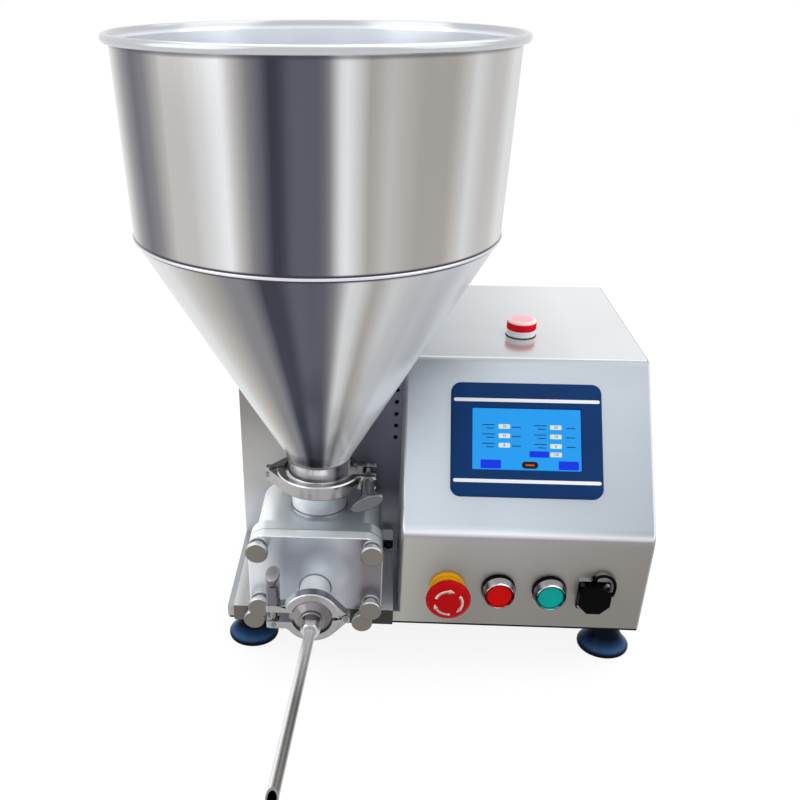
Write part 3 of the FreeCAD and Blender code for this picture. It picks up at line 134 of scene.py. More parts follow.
class Nodes:
    """Builds the nodes of one material, world or node group."""

    def __init__(self, tree: bpy.types.NodeTree) -> None:
        """Start from an empty tree."""
        self.tree = tree
        tree.nodes.clear()

    def node(self, kind: str, inputs: dict | None = None, **settings: object) -> bpy.types.Node:
        """Add any node.

        Args:
            kind: Blender's node type.
            inputs: socket name or number to a number, colour, vector or Value.
            settings: attributes to set first; stops are a ramp's (place, colour) pairs.
        Returns:
            The new node.
        """
        node = self.tree.nodes.new(kind)
        for name, setting in settings.items():
            if name == "stops":
                self._set_stops(node.color_ramp, setting)
            else:
                setattr(node, name, setting)
        for name, value in (inputs or {}).items():
            self._feed(node.inputs[name], value)
        return node

    def _feed(self, socket: bpy.types.NodeSocket, value: "Value | float | Sequence[float]") -> None:
        """Link or set one input.

        Args:
            socket: the input.
            value: a Value to link, or what to set.
        """
        if isinstance(value, Value):
            self.tree.links.new(value.socket, socket)
        elif socket.type == "RGBA" and len(value) == 3:
            socket.default_value = (*value, 1.0)
        else:
            socket.default_value = value

    @staticmethod
    def _set_stops(ramp: bpy.types.ColorRamp, stops: Tones) -> None:
        """Give a colour ramp its stops.

        Args:
            ramp: the ramp, with two stops of its own.
            stops: at least two places and their colours.
        """
        while len(ramp.elements) < len(stops):
            ramp.elements.new(0.5)
        for element, (place, colour) in zip(ramp.elements, stops):
            element.position = place
            element.color = (*colour, 1.0)

    def value(self, kind: str, inputs: dict | None = None, output: str | int = 0,
              **settings: object) -> Value:
        """Add a node and return one of its outputs as a Value."""
        return Value(self, self.node(kind, inputs, **settings).outputs[output])

    def math(self, operation: str, *values: "Value | float") -> Value:
        """Math node on numbers or values."""
        return self.value("ShaderNodeMath", dict(enumerate(values)), operation=operation)

    def vector(self, operation: str, *values: "Value | Triple") -> Value:
        """Vector Math node, by its number where the operation gives one."""
        output = "Value" if operation in NUMBER_OPERATIONS else 0
        return self.value("ShaderNodeVectorMath", dict(enumerate(values)), output, operation=operation)

    def mix(self, factor: "Value | float", first: "Value | Colour", second: "Value | Colour") -> Value:
        """Blend two colours."""
        return self.value("ShaderNodeMix", {0: factor, 6: first, 7: second}, 2, data_type="RGBA")

    def tinted(self, colour: Value, level: Value) -> Value:
        """Colour made lighter or darker by a level around 1."""
        return self.value("ShaderNodeVectorMath", {0: colour, "Scale": level}, operation="SCALE")

    def noise(self, vector: Value, scale: float, detail: float = 2.0) -> Value:
        """Noise from 0 to 1 at a number of features per metre."""
        return self.value("ShaderNodeTexNoise", {"Vector": vector, "Scale": scale, "Detail": detail})

    def ramp(self, value: Value, stops: Tones) -> Value:
        """Colour ramp."""
        return self.value("ShaderNodeValToRGB", {0: value}, stops=stops)


class Surface(Nodes):
    """Node tree of a material around one Principled shader."""

    looking = (0.93, 0.99)

    def __init__(self, name: str) -> None:
        """Make the material and its coordinates.

        Args:
            name: the material's name.
        """
        self.material = bpy.data.materials.new(name)
        self.material.use_nodes = True
        super().__init__(self.material.node_tree)
        self.place = self.value("ShaderNodeTexCoord", output="Object")
        self.normal = self.value("ShaderNodeNewGeometry", output="Normal")

    def parts(self, vector: Value) -> tuple[Value, Value, Value]:
        """The three parts of a vector."""
        node = self.node("ShaderNodeSeparateXYZ", {0: vector})
        return tuple(Value(self, part) for part in node.outputs)

    def span(self, value: Value, low: float, high: float) -> Value:
        """Share of the way from low to high, kept from 0 to 1."""
        return self.value("ShaderNodeMapRange", {0: value, 1: low, 2: high}, clamp=True)

    def stretched(self, scales: Triple, detail: float = 2.0) -> Value:
        """Noise with its own number of features per metre along X, Y and Z."""
        return self.noise(self.vector("MULTIPLY", self.place, scales), 1.0, detail)

    def looks(self, direction: Triple) -> Value:
        """One on faces that look in a direction, fading out over some 20 degrees."""
        return self.span(self.vector("DOT_PRODUCT", self.normal, direction), *self.looking)

    def facing(self, tones: Tones, part: int = 2) -> Value:
        """Paint light and shade: find the tone of each face by the way it looks.

        Args:
            tones: tones from -1, which is left, front or down, to 1, which is right, back or up.
            part: part of the normal that counts.
        Returns:
            The tone.
        """
        share = self.parts(self.normal)[part] * 0.5 + 0.5
        return self.ramp(share, tuple((place * 0.5 + 0.5, tone) for place, tone in tones))

    def bump(self, height: Value, strength: float, distance: float) -> Value:
        """Normal bent by a height."""
        return self.value("ShaderNodeBump", {"Height": height, "Strength": strength, "Distance": distance})

    def finish(self, **inputs: "Value | float | Colour") -> Material:
        """Close the material with a Principled shader.

        Args:
            inputs: socket names with spaces written as underscores.
        Returns:
            The material.
        """
        named = {name.replace("_", " "): value for name, value in inputs.items()}
        self.node("ShaderNodeOutputMaterial", {0: self.value("ShaderNodeBsdfPrincipled", named)})
        return self.material


# ---------------------------------------------------------------- finishes
class Grain(Enum):
    """Ways to grind steel: features per metre along X, Y and Z, and the noise's detail."""

    ALONG_X = ((5.0, 420.0, 600.0), 3.0)
    ALONG_Y = ((5.0, 5.0, 600.0), 3.0)
    EVEN = ((900.0, 900.0, 900.0), 3.0)
    POLISHED = ((60.0, 60.0, 600.0), 2.0)


class Facing(Enum):
    """Ways that the machine's flat faces look."""

    UP = (0.0, 0.0, 1.0)
    FRONT = (0.0, -1.0, 0.0)
    SLOPE = (0.0, -0.725, 0.689)
    LEFT = (-1.0, 0.0, 0.0)
    RIGHT = (1.0, 0.0, 0.0)
    ANY = None


UP, FRONT, SLOPE, LEFT, RIGHT, ANY = Facing


@dataclass(frozen=True)
class PaintedFade:
    """Painted light and shade: a soft change to another tone along an axis of the frame, on the faces that
    look one way.

    The places are in metres; axis 0, 1 and 2 are X, Y and Z.  Only what lies further back than
    the Y of behind is changed.
    """

    facing: Facing
    axis: int
    start: float
    end: float
    tone: Colour
    share: float = 1.0
    behind: float = -1.0

    def laid_on(self, surface: Surface, tone: Value) -> Value:
        """Lay the fade over a tone.

        Args:
            surface: node tree to add to.
            tone: tone under the fade.
        Returns:
            The tone with the fade.
        """
        places = surface.parts(surface.place)
        amount = surface.span(places[self.axis], self.start, self.end) * self.share
        amount = amount * (places[1] > self.behind)
        if self.facing is not ANY:
            amount = amount * surface.looks(self.facing.value)
        return surface.mix(amount, tone, self.tone)


@dataclass(frozen=True)
class PaintedHighlight:
    """Painted highlight: a soft round patch of another tone on a face that looks to the front; places are in
    metres.
    """

    centre: Triple
    radius: float
    tone: Colour
    share: float = 1.0
    core: float = 0.15

    def laid_on(self, surface: Surface, tone: Value) -> Value:
        """Lay the painted highlight over a tone.

        Args:
            surface: node tree to add to.
            tone: tone under the spot.
        Returns:
            The tone with the spot.
        """
        away = surface.vector("DISTANCE", surface.place, self.centre)
        amount = surface.span(away, self.radius, self.radius * self.core) * self.share
        return surface.mix(amount * surface.looks(FRONT.value), tone, self.tone)


@dataclass(frozen=True)
class BoreShade:
    """Painted shade inside the round hollow along the straight length of a tube; places are in metres."""

    middle: Triple
    axis: Triple
    radius: float
    tone: Colour = srgb(8, 7, 12)
    edge: Point = (0.0006, 0.0001)
    depth: float = 0.01

    def laid_on(self, surface: Surface, tone: Value) -> Value:
        """Paint shade on the faces inside the hollow's front end.

        Args:
            surface: node tree to add to.
            tone: tone of the tube.
        Returns:
            The tone with the painted shade in the hollow.
        """
        offset = surface.vector("SUBTRACT", surface.place, self.middle)
        away = surface.vector("LENGTH", surface.vector("CROSS_PRODUCT", offset, self.axis))
        inside = surface.span(away, self.radius + self.edge[0], self.radius + self.edge[1])
        ahead = surface.span(surface.parts(surface.place)[1], self.middle[1], self.middle[1] - self.depth)
        return surface.mix(inside * ahead, tone, self.tone)


@dataclass(frozen=True)
class SteelFinish:
    """Stainless steel with its grain and stains; its tones follow one part of each face's normal as painted
    light and shade.
    """

    name: str
    slot: str
    tones: Tones
    roughness: float = 0.34
    metallic: float = 0.85
    grain: Grain = Grain.ALONG_X
    variation: float = 0.08
    grain_depth: float = 0.10
    side_shade: float = 0.0
    top_gloss: float = 0.0
    fades: tuple[PaintedFade | PaintedHighlight | BoreShade, ...] = ()
    normal_part: int = 2
    cloud_scale: float = 9.0
    cloud_share: float = 0.55
    roughness_spread: Point = (0.16, 0.10)
    top_calm: Point = (0.8, 0.9)
    bump_distance: float = 0.0003

    def material(self) -> Material:
        """Build the material.

        Returns:
            A Principled metal with painted light and shade by facing, whose tone, roughness and bump follow
            the grain.
        """
        surface = Surface(self.name)
        cloud = surface.noise(surface.place, self.cloud_scale, 3.0)
        streak = self._streak(surface)
        # Painted light and shade: the tone follows the way each face looks, then painted fades, highlights
        # and bore shade lie over it.
        tone = surface.facing(self.tones, self.normal_part)
        for fade in self.fades:
            tone = fade.laid_on(surface, tone)
        uneven = cloud * self.cloud_share + streak * (1 - self.cloud_share) - 0.5
        level = 1 + uneven * (2 * self.variation)
        # Painted shade: darker on faces that look right, lighter on faces that look left.
        if self.side_shade:
            level = level * (1 - surface.parts(surface.normal)[0] * self.side_shade)
        tone = surface.tinted(tone, level)
        roughness = (streak - 0.5) * self.roughness_spread[0] + (cloud - 0.5) * self.roughness_spread[1]
        height = streak
        if self.top_gloss:
            top = surface.looks(UP.value)
            roughness = roughness * (1 - top * self.top_calm[0]) - top * self.top_gloss
            height = streak * (1 - top * self.top_calm[1])
        bend = surface.bump(height, self.grain_depth, self.bump_distance)
        return surface.finish(Base_Color=tone, Metallic=self.metallic, Roughness=roughness + self.roughness,
                              Normal=bend)

    def _streak(self, surface: Surface) -> Value:
        """Draw the fine lines or grains of the ground surface.

        Args:
            surface: node tree to add to.
        Returns:
            Noise from 0 to 1; steel ground along X is ground along Y on its sides.
        """
        fine = surface.stretched(*self.grain.value)
        if self.grain is not Grain.ALONG_X:
            return fine
        sideways = surface.math("ABSOLUTE", surface.parts(surface.normal)[0]) > SIDEWAYS
        return fine * (1 - sideways) + surface.stretched(*Grain.ALONG_Y.value) * sideways


class Shade(Enum):
    """Tones of the painted reflections on the hopper's polished steel, from the darkest band to the
    brightest.
    """

    INK = srgb(58, 59, 70)
    SLATE = srgb(90, 91, 101)
    LEAD = srgb(126, 125, 129)
    STEEL = srgb(162, 158, 153)
    SILVER = srgb(186, 183, 181)
    PEARL = srgb(208, 209, 210)
    GLINT = srgb(228, 230, 233)


INK, SLATE, LEAD, STEEL, SILVER, PEARL, GLINT = Shade


def bands(*stops: tuple[float, Shade]) -> Tones:
    """Stops of the hopper's painted reflection bands.

    Args:
        stops: degrees round the axis from the front, positive to the right, and the shade there.
    Returns:
        Each stop's place from 0 to 1 and its linear colour.
    """
    return tuple((angle / 360 + 0.5, shade.value) for angle, shade in stops)


# Painted reflections: light and dark bands round the hopper's wall, back, cone and neck.
WALL_BANDS = bands(
    (-180, SILVER), (-125, PEARL), (-70, PEARL), (-58, LEAD), (-51, SLATE), (-45, LEAD), (-38, SILVER),
    (-31, SILVER), (-24, PEARL), (-19.5, GLINT), (-16.5, SILVER), (-12.5, LEAD), (-9, SLATE), (-7.5, INK),
    (-5, INK), (-2, SLATE), (5, SLATE), (7, LEAD), (10.5, GLINT), (13, PEARL), (17, STEEL), (22, SILVER),
    (31, STEEL), (40, STEEL), (44, SILVER), (48, PEARL), (55, SILVER), (61, SILVER), (68, PEARL),
    (130, STEEL), (180, SILVER))
BACK_BANDS = bands(
    (-180, SILVER), (-168, STEEL), (-158, LEAD), (-152, SLATE), (-146, LEAD), (-138, SILVER), (-128, GLINT),
    (-118, SILVER), (-104, STEEL), (-92, SILVER), (-80, PEARL), (-66, PEARL), (66, PEARL), (80, SILVER),
    (94, STEEL), (106, LEAD), (112, SLATE), (120, LEAD), (128, PEARL), (134, GLINT), (146, SILVER),
    (164, STEEL), (180, SILVER))
CONE_BANDS = bands(
    (-180, SILVER), (-120, PEARL), (-46, PEARL), (-38, SILVER), (-30, STEEL), (-22, LEAD), (-17, LEAD),
    (-13, SLATE), (-11.5, INK), (-6.5, INK), (-2.5, SLATE), (6, SLATE), (9, LEAD), (12.5, PEARL),
    (15, PEARL), (20, STEEL), (26, PEARL), (36, PEARL), (41, GLINT), (100, GLINT), (130, STEEL),
    (180, SILVER))
NECK_BANDS = bands(
    (-180, STEEL), (-70, SILVER), (-35, PEARL), (-18, SILVER), (-8, PEARL), (10, GLINT), (24, SILVER),
    (38, INK), (60, LEAD), (180, STEEL))


@dataclass(frozen=True)
class SpunSteelFinish:
    """Polished spun steel of the hopper: its tone changes in soft bands of painted reflection round the axis.

    The places are in metres; box_side is the share of a turn that faces the control box.
    """

    name: str
    slot: str
    centre: Point
    lip_foot: float
    seam_height: float
    neck_top: float
    # Painted light: a pale inside of the bowl, and painted highlights along the seam bead and over the lip.
    inside: Colour = srgb(240, 243, 249)
    seam: Colour = srgb(222, 219, 228)
    lip: Colour = srgb(192, 194, 198)
    bowl_shade: float = 0.88
    seam_half: float = 0.0012
    lip_shadow: float = 0.6
    roughness: float = 0.22
    uneven: float = 0.06
    wobble: float = 0.006
    wobble_scales: Triple = (14.0, 14.0, 3.0)
    ring_scales: Triple = (3.0, 3.0, 700.0)
    ring_depth: Point = (0.02, 0.0002)
    streaks: Point = (220.0, 5.0)
    metallic: float = 0.92
    box_metallic: float = 0.20
    box_side: Point = (0.535, 0.585)
    back: Point = (0.19, 0.22)

    def material(self) -> Material:
        """Build the material.

        Returns:
            A metal with painted reflection bands by the angle round the hopper's axis, painted highlights on
            the lip and seam, and a pale bowl of painted light.
        """
        surface = Surface(self.name)
        x, y, z = surface.parts(surface.place)
        nx, ny, _ = surface.parts(surface.normal)
        dx = x - self.centre[0]
        dy = y - self.centre[1]
        wobble = (surface.stretched(self.wobble_scales) - 0.5) * self.wobble
        turn = surface.math("ARCTAN2", dx, 0 - dy) / (2 * math.pi) + 0.5 + wobble
        above_seam = surface.span(z, self.seam_height - 0.0002, self.seam_height + 0.0002)
        # Painted reflection bands, with painted shade lines and highlights at the seam and the lip.
        banded = self._lined(surface, self._banded(surface, turn, z, above_seam), z)
        under_lip = surface.span(z, self.lip_foot + 0.003, self.lip_foot + 0.001)
        inward = surface.math("LESS_THAN", dx * nx + dy * ny, 0.0) * under_lip
        around = {0: turn * self.streaks[0], 1: z * self.streaks[1], 2: 0.0}
        streak = surface.noise(surface.value("ShaderNodeCombineXYZ", around), 1.0)
        rings = surface.stretched(self.ring_scales)
        # Painted light: the bowl's inside takes a pale tone, unlike the banded steel outside.
        bowl = surface.mix(streak, self.inside, tuple(part * self.bowl_shade for part in self.inside))
        tone = surface.tinted(surface.mix(inward, banded, bowl), 1 + (streak - 0.5) * self.uneven)
        roughness = self.roughness + (rings + streak - 1.0) * self.uneven
        beside_box = surface.span(turn, *self.box_side) * (1 - above_seam)
        metallic = self.metallic - beside_box * (self.metallic - self.box_metallic)
        return surface.finish(Base_Color=tone, Metallic=metallic, Roughness=roughness,
                              Normal=surface.bump(rings, *self.ring_depth))

    def _banded(self, surface: Surface, turn: Value, z: Value, above_seam: Value) -> Value:
        """Lay the painted reflection bands of the wall, the cone, the neck and the back.

        Args:
            surface: node tree to add to.
            turn: share of a turn round the axis, 0.5 at the front.
            z: height.
            above_seam: one on the wall, else zero.
        Returns:
            The banded tone.
        """
        above_neck = surface.span(z, self.neck_top - 0.0005, self.neck_top + 0.002)
        tone = surface.mix(above_neck, surface.ramp(turn, NECK_BANDS), surface.ramp(turn, CONE_BANDS))
        tone = surface.mix(above_seam, tone, surface.ramp(turn, WALL_BANDS))
        behind = surface.span(surface.math("ABSOLUTE", turn - 0.5), *self.back)
        return surface.mix(behind, tone, surface.ramp(turn, BACK_BANDS))

    def _lined(self, surface: Surface, tone: Value, z: Value) -> Value:
        """Paint highlights on the seam bead and the lip, each with a painted shade line beside it.

        Args:
            surface: node tree to add to.
            tone: tone under the lines.
            z: height.
        Returns:
            The tone with the lines.
        """
        from_seam = surface.math("ABSOLUTE", z - self.seam_height)
        # Painted shade lines beside the bead and under the lip, and painted highlights on the bead and the
        # lip.
        for place, start, end, share, line in (
            (from_seam, self.seam_half + 0.0020, self.seam_half + 0.0008, 1.0, INK.value),
            (from_seam, self.seam_half + 0.0001, self.seam_half - 0.0004, 1.0, self.seam),
            (z, self.lip_foot - 0.0026, self.lip_foot - 0.0008, self.lip_shadow, INK.value),
            (z, self.lip_foot - 0.0002, self.lip_foot + 0.0004, 1.0, self.lip),
        ):
            tone = surface.mix(surface.span(place, start, end) * share, tone, line)
        return tone


@dataclass(frozen=True)
class PlasticFinish:
    """Moulded or painted surface with a faint mottling."""

    name: str
    slot: str
    tone: Colour
    roughness: float = 0.35
    coat: float = 0.0
    shine: float = 0.04
    mottle: float = 0.06
    texture_depth: float = 0.05
    # Painted highlight and shade: tones by the way each face looks.
    sheen_tones: Tones = ()
    cloud_scale: float = 40.0
    texture_scale: float = 1400.0
    texture_distance: float = 0.0002
    roughness_spread: float = 0.10
    coat_roughness: float = 0.06
    least_light: float = 0.004

    def material(self) -> Material:
        """Build the material.

        Returns:
            A dielectric with a fine moulded texture.
        """
        surface = Surface(self.name)
        cloud = surface.noise(surface.place, self.cloud_scale, 3.0)
        fine = surface.noise(surface.place, self.texture_scale)
        # Painted highlight by facing, where sheen tones are given.
        if self.sheen_tones:
            tone = surface.tinted(surface.facing(self.sheen_tones), 1 + (cloud - 0.5) * (2 * self.mottle))
        else:
            light = tuple(min(1.0, part * (1 + self.mottle) + self.least_light) for part in self.tone)
            tone = surface.mix(cloud, tuple(part * (1 - self.mottle) for part in self.tone), light)
        roughness = self.roughness + (cloud - 0.5) * self.roughness_spread
        bend = surface.bump(fine, self.texture_depth, self.texture_distance)
        return surface.finish(Base_Color=tone, Roughness=roughness, Specular_IOR_Level=self.shine,
                              Coat_Weight=self.coat, Coat_Roughness=self.coat_roughness, Normal=bend)


@dataclass(frozen=True)
class LitFinish:
    """Backlit patch of the display."""

    name: str
    slot: str
    tone: Colour
    glow: float = 0.75
    cloud_scale: float = 30.0
    edge_share: float = 0.9
    unlit_share: float = 0.25
    roughness: float = 0.18
    shine: float = 0.15

    def material(self) -> Material:
        """Build the material.

        Returns:
            A glossy surface that gives off its own colour, a little uneven.
        """
        surface = Surface(self.name)
        cloud = surface.noise(surface.place, self.cloud_scale)
        tone = surface.mix(cloud, tuple(part * self.edge_share for part in self.tone), self.tone)
        dim = tuple(part * self.unlit_share for part in self.tone)
        return surface.finish(Base_Color=dim, Roughness=self.roughness, Specular_IOR_Level=self.shine,
                              Emission_Color=tone, Emission_Strength=self.glow)


def tones(*stops: tuple[float, int, int, int]) -> Tones:
    """Stops of a facing ramp of painted light and shade: a share from -1 to 1, and display levels."""
    return tuple((share, srgb(*levels)) for share, *levels in stops)


# Painted light and shade on the cabinet by facing: dark undersides, a darker front, painted highlights along
# the front fold and the top crest, a lighter slope and top.
SHEET = tones(
    (-1, 90, 90, 90), (0.0, 158, 156, 152), (0.16, 160, 156, 158), (0.30, 156, 149, 160),
    (0.45, 246, 248, 255), (0.58, 214, 220, 232), (0.66, 196, 205, 214), (0.72, 190, 199, 208),
    (0.80, 160, 165, 170), (0.92, 152, 154, 154), (0.97, 190, 192, 193), (1.0, 170, 175, 180))
# Painted light and shade across the cabinet: the top lighter to the right, the slope shaded to the right and
# along its top edge and lighter at its left, the front darker towards the bottom and the right, painted shade
# and light on the bay wall, darker right walls and lighter left walls.
SHEET_FADES = (
    PaintedFade(UP, 0, 0.02, 0.17, srgb(226, 228, 230)),
    PaintedFade(SLOPE, 0, 0.10, 0.225, srgb(168, 176, 184)),
    PaintedFade(SLOPE, 0, 0.07, 0.02, srgb(222, 230, 238), 0.45),
    PaintedFade(SLOPE, 2, 0.246, 0.264, srgb(156, 161, 167), 0.4),
    PaintedFade(FRONT, 2, 0.150, 0.060, srgb(132, 129, 125), 0.8),
    PaintedFade(FRONT, 0, 0.10, 0.22, srgb(126, 122, 116), 0.6),
    PaintedFade(FRONT, 0, 0.06, 0.0, srgb(176, 176, 170), 0.9),
    PaintedFade(FRONT, 2, 0.10, 0.26, srgb(134, 126, 125), 1.0, BAY_WALL),
    PaintedFade(FRONT, 2, 0.20, 0.10, srgb(203, 202, 202), 1.0, BAY_WALL),
    PaintedFade(FRONT, 0, -0.075, -0.03, srgb(112, 115, 130), 1.0, BAY_WALL),
    PaintedFade(FRONT, 2, 0.12, 0.09, srgb(226, 230, 240), 0.8, BAY_WALL),
    PaintedFade(RIGHT, 2, 0.0, 0.01, srgb(150, 152, 154)),
    PaintedFade(LEFT, 2, 0.0, 0.01, srgb(150, 151, 153)),
    PaintedFade(LEFT, 0, -0.10, -0.05, srgb(248, 249, 252)))
# Painted light and shade on the pump plate: dark undersides and front, a top lighter at both ends than in its
# middle, and a darker front towards the right.
PLATE = tones((-1, 60, 58, 56), (0.0, 104, 100, 95), (0.5, 200, 200, 202), (1.0, 246, 248, 248))
PLATE_FADES = (
    PaintedFade(UP, 0, -0.155, -0.140, srgb(168, 168, 166), 0.8),
    PaintedFade(UP, 0, -0.08, -0.05, srgb(250, 251, 255)),
    PaintedFade(FRONT, 0, -0.07, -0.03, srgb(46, 43, 40)))
# Painted light and shade on the pump: dark undersides, a light top, the front darker towards the right,
# darker right walls, lighter left walls, painted shade on the body's top, a painted highlight round the
# outlet, and a lighter neck and spout.
PUMP = tones((-1, 90, 92, 96), (0.0, 230, 234, 238), (0.35, 232, 242, 250), (1.0, 244, 250, 252))
PUMP_FADES = (
    PaintedFade(FRONT, 0, -0.124, -0.100, srgb(166, 171, 182)),
    PaintedFade(FRONT, 0, -0.07, -0.05, srgb(184, 186, 196)),
    PaintedFade(FRONT, 0, -0.050, -0.028, srgb(124, 118, 124)),
    PaintedFade(RIGHT, 2, 0.0, 0.01, srgb(110, 115, 122)),
    PaintedFade(LEFT, 2, 0.0, 0.01, srgb(160, 164, 169)),
    PaintedFade(UP, 0, -0.112, -0.085, srgb(184, 192, 200), 1.0, PUMP_BODY),
    PaintedFade(UP, 0, -0.07, -0.035, srgb(166, 174, 184), 1.0, PUMP_BODY),
    PaintedHighlight((-0.0625, PUMP_FACE, 0.1065), 0.024, srgb(226, 236, 246), 0.9),
    PaintedFade(ANY, 2, PUMP_TOP + 0.0003, PUMP_TOP + 0.001, srgb(226, 232, 238)),
    PaintedFade(ANY, 1, PUMP_FACE - 0.0003, PUMP_FACE - 0.001, srgb(248, 252, 255)))
# Painted light and shade by facing on the clamp jaws, wing nuts, bolts, pins and nozzle cap: dark undersides,
# lighter upward faces.
JAW = tones((-1, 66, 63, 62), (0.0, 160, 158, 158), (0.45, 196, 198, 204), (0.8, 208, 211, 216),
            (1.0, 150, 152, 158))
WING = tones((-1, 50, 50, 56), (0.0, 106, 106, 112), (0.45, 84, 87, 98), (0.8, 150, 153, 160),
             (1.0, 196, 198, 204))
BRIGHT = tones((-1, 60, 60, 64), (0.0, 126, 122, 122), (0.5, 122, 116, 122), (1.0, 170, 170, 178))
# Painted highlight on the tube's left side and painted shade over the rest; TUBE_FADE paints the tube lighter
# towards the nut.
TUBE = tones(
    (-1, 176, 177, 180), (-0.9, 216, 218, 221), (-0.6, 244, 245, 247), (-0.42, 240, 242, 244),
    (-0.26, 168, 166, 165), (0.0, 132, 128, 124), (0.6, 118, 115, 112), (0.86, 112, 109, 107),
    (1.0, 176, 176, 178))
TUBE_FADE = PaintedFade(ANY, 1, -0.200, -0.120, srgb(226, 226, 228), 0.85)
# Painted light and shade by facing: NUT, WELD, KNOB, PLAIN and BRONZE are darker on undersides and lighter on
# upward faces; CHROME paints reflections as dark and bright rings.
NUT = tones((-1, 150, 150, 156), (0.0, 196, 197, 203), (0.5, 224, 225, 229), (1.0, 248, 248, 250))
WELD = tones((-1, 60, 60, 62), (1, 120, 121, 124))
KNOB = tones((-1, 60, 57, 55), (0.0, 122, 117, 111), (0.3, 150, 148, 148), (0.75, 224, 231, 238),
             (1.0, 236, 242, 246))
PLAIN = tones((-1, 120, 120, 122), (1.0, 184, 184, 187))
CHROME = tones(
    (-1, 48, 50, 54), (-0.2, 26, 28, 32), (0.12, 18, 20, 24), (0.35, 216, 218, 222), (0.6, 90, 92, 98),
    (0.8, 240, 242, 246), (1, 244, 246, 250))
BRONZE = tones((-1, 120, 88, 52), (1, 176, 134, 84))
# Painted highlight: a blue sheen on the outer flare of the feet, by the way each face looks.
FOOT = tones(
    (-1, 1, 4, 14), (0.0, 1, 5, 18), (0.46, 2, 10, 28), (0.58, 26, 54, 92), (0.68, 62, 96, 138),
    (0.82, 18, 42, 76), (1.0, 8, 26, 54))
# Painted highlight on the lamp lens: cream on the bevel and pink on the top over the red sides.
LENS = tones(
    (-1, 190, 4, 20), (0.0, 226, 8, 34), (0.22, 230, 14, 38), (0.36, 250, 216, 210), (0.6, 255, 240, 234),
    (0.9, 254, 228, 226), (1.0, 246, 184, 194))
METALS = (
    SteelFinish("brushed_sheet", "cabinet_steel", SHEET, roughness=0.40, metallic=0.66, variation=0.07,
                top_gloss=0.20, fades=SHEET_FADES),
    SteelFinish("plate_sheet", "cabinet_steel", PLATE, roughness=0.45, metallic=0.45, variation=0.06,
                fades=PLATE_FADES),
    SteelFinish("satin_casting", "pump_steel", PUMP, metallic=0.45, variation=0.07, side_shade=0.35,
                fades=PUMP_FADES),
    SteelFinish("cast_polish", "clamp_steel", JAW, roughness=0.22, metallic=0.95, grain=Grain.POLISHED,
                variation=0.14, side_shade=0.18),
    SteelFinish("wing_polish", "clamp_steel", WING, roughness=0.24, metallic=0.95, grain=Grain.POLISHED,
                variation=0.14),
    SteelFinish("nozzle_polish", "clamp_steel", BRIGHT, roughness=0.18, metallic=0.95, grain=Grain.POLISHED,
                side_shade=0.5),
    SteelFinish("nut_polish", "clamp_steel", NUT, roughness=0.20, metallic=0.80, grain=Grain.POLISHED,
                variation=0.10),
    SteelFinish("weld_steel", "clamp_steel", WELD, roughness=0.4, grain=Grain.EVEN),
    SteelFinish("turned_satin", "knob_steel", KNOB, roughness=0.38, metallic=0.80, grain=Grain.EVEN),
    SteelFinish("ground_shaft", "shaft_steel", PLAIN, roughness=0.25, metallic=0.95, grain=Grain.EVEN),
    SteelFinish("bright_plate", "bright_chrome", CHROME, roughness=0.10, metallic=1.0, grain=Grain.POLISHED,
                variation=0.04, grain_depth=0.02),
    SteelFinish("machined_alloy", "drive_aluminium", PLAIN, roughness=0.40, grain=Grain.EVEN),
    SteelFinish("bush_bronze", "bush_bronze", BRONZE, roughness=0.35, grain=Grain.EVEN),
)
PLASTICS = (
    PlasticFinish("black_paint", "black_plate", srgb(20, 18, 24), roughness=0.45),
    PlasticFinish("motor_paint", "motor_paint", srgb(64, 68, 74), roughness=0.45),
    PlasticFinish("foot_rubber", "foot_rubber", srgb(3, 12, 32), roughness=0.30, coat=0.03,
                  texture_depth=0.08, sheen_tones=FOOT),
    PlasticFinish("matt_rubber", "black_rubber", srgb(14, 14, 15), roughness=0.5),
    PlasticFinish("panel_navy", "panel_plastic", srgb(18, 56, 108), roughness=0.42, texture_depth=0.12),
    PlasticFinish("stripe_white", "white_plastic", srgb(248, 250, 253), roughness=0.4),
    PlasticFinish("gloss_red", "red_plastic", srgb(182, 2, 6), roughness=0.26, coat=0.02),
    PlasticFinish("button_red", "red_plastic", srgb(206, 3, 2), roughness=0.30, coat=0.02),
    PlasticFinish("arrow_white", "white_plastic", srgb(255, 240, 234), roughness=0.4),
    PlasticFinish("gloss_yellow", "yellow_plastic", srgb(234, 172, 20), roughness=0.28, coat=0.02),
    PlasticFinish("button_teal", "teal_plastic", srgb(2, 164, 154), roughness=0.30, coat=0.02),
    PlasticFinish("gloss_black", "black_plastic", srgb(2, 2, 4), roughness=0.24, shine=0.02),
    PlasticFinish("lamp_white", "white_plastic", srgb(246, 249, 253), roughness=0.25, coat=0.05),
    PlasticFinish("lamp_red", "lamp_lens", srgb(218, 10, 28), roughness=0.12, coat=0.05, mottle=0.12,
                  sheen_tones=LENS),
)
DISPLAY = (
    LitFinish("display_sky", "screen_glass", srgb(34, 160, 246)),
    LitFinish("display_blue", "screen_glass", srgb(14, 52, 236)),
    LitFinish("display_white", "screen_glass", srgb(226, 236, 246)),
    LitFinish("display_ink", "screen_glass", srgb(22, 70, 130), 0.35),
    LitFinish("display_dark", "screen_glass", srgb(40, 26, 24), 0.3),
    LitFinish("display_amber", "screen_glass", srgb(226, 96, 40), 0.6),
)


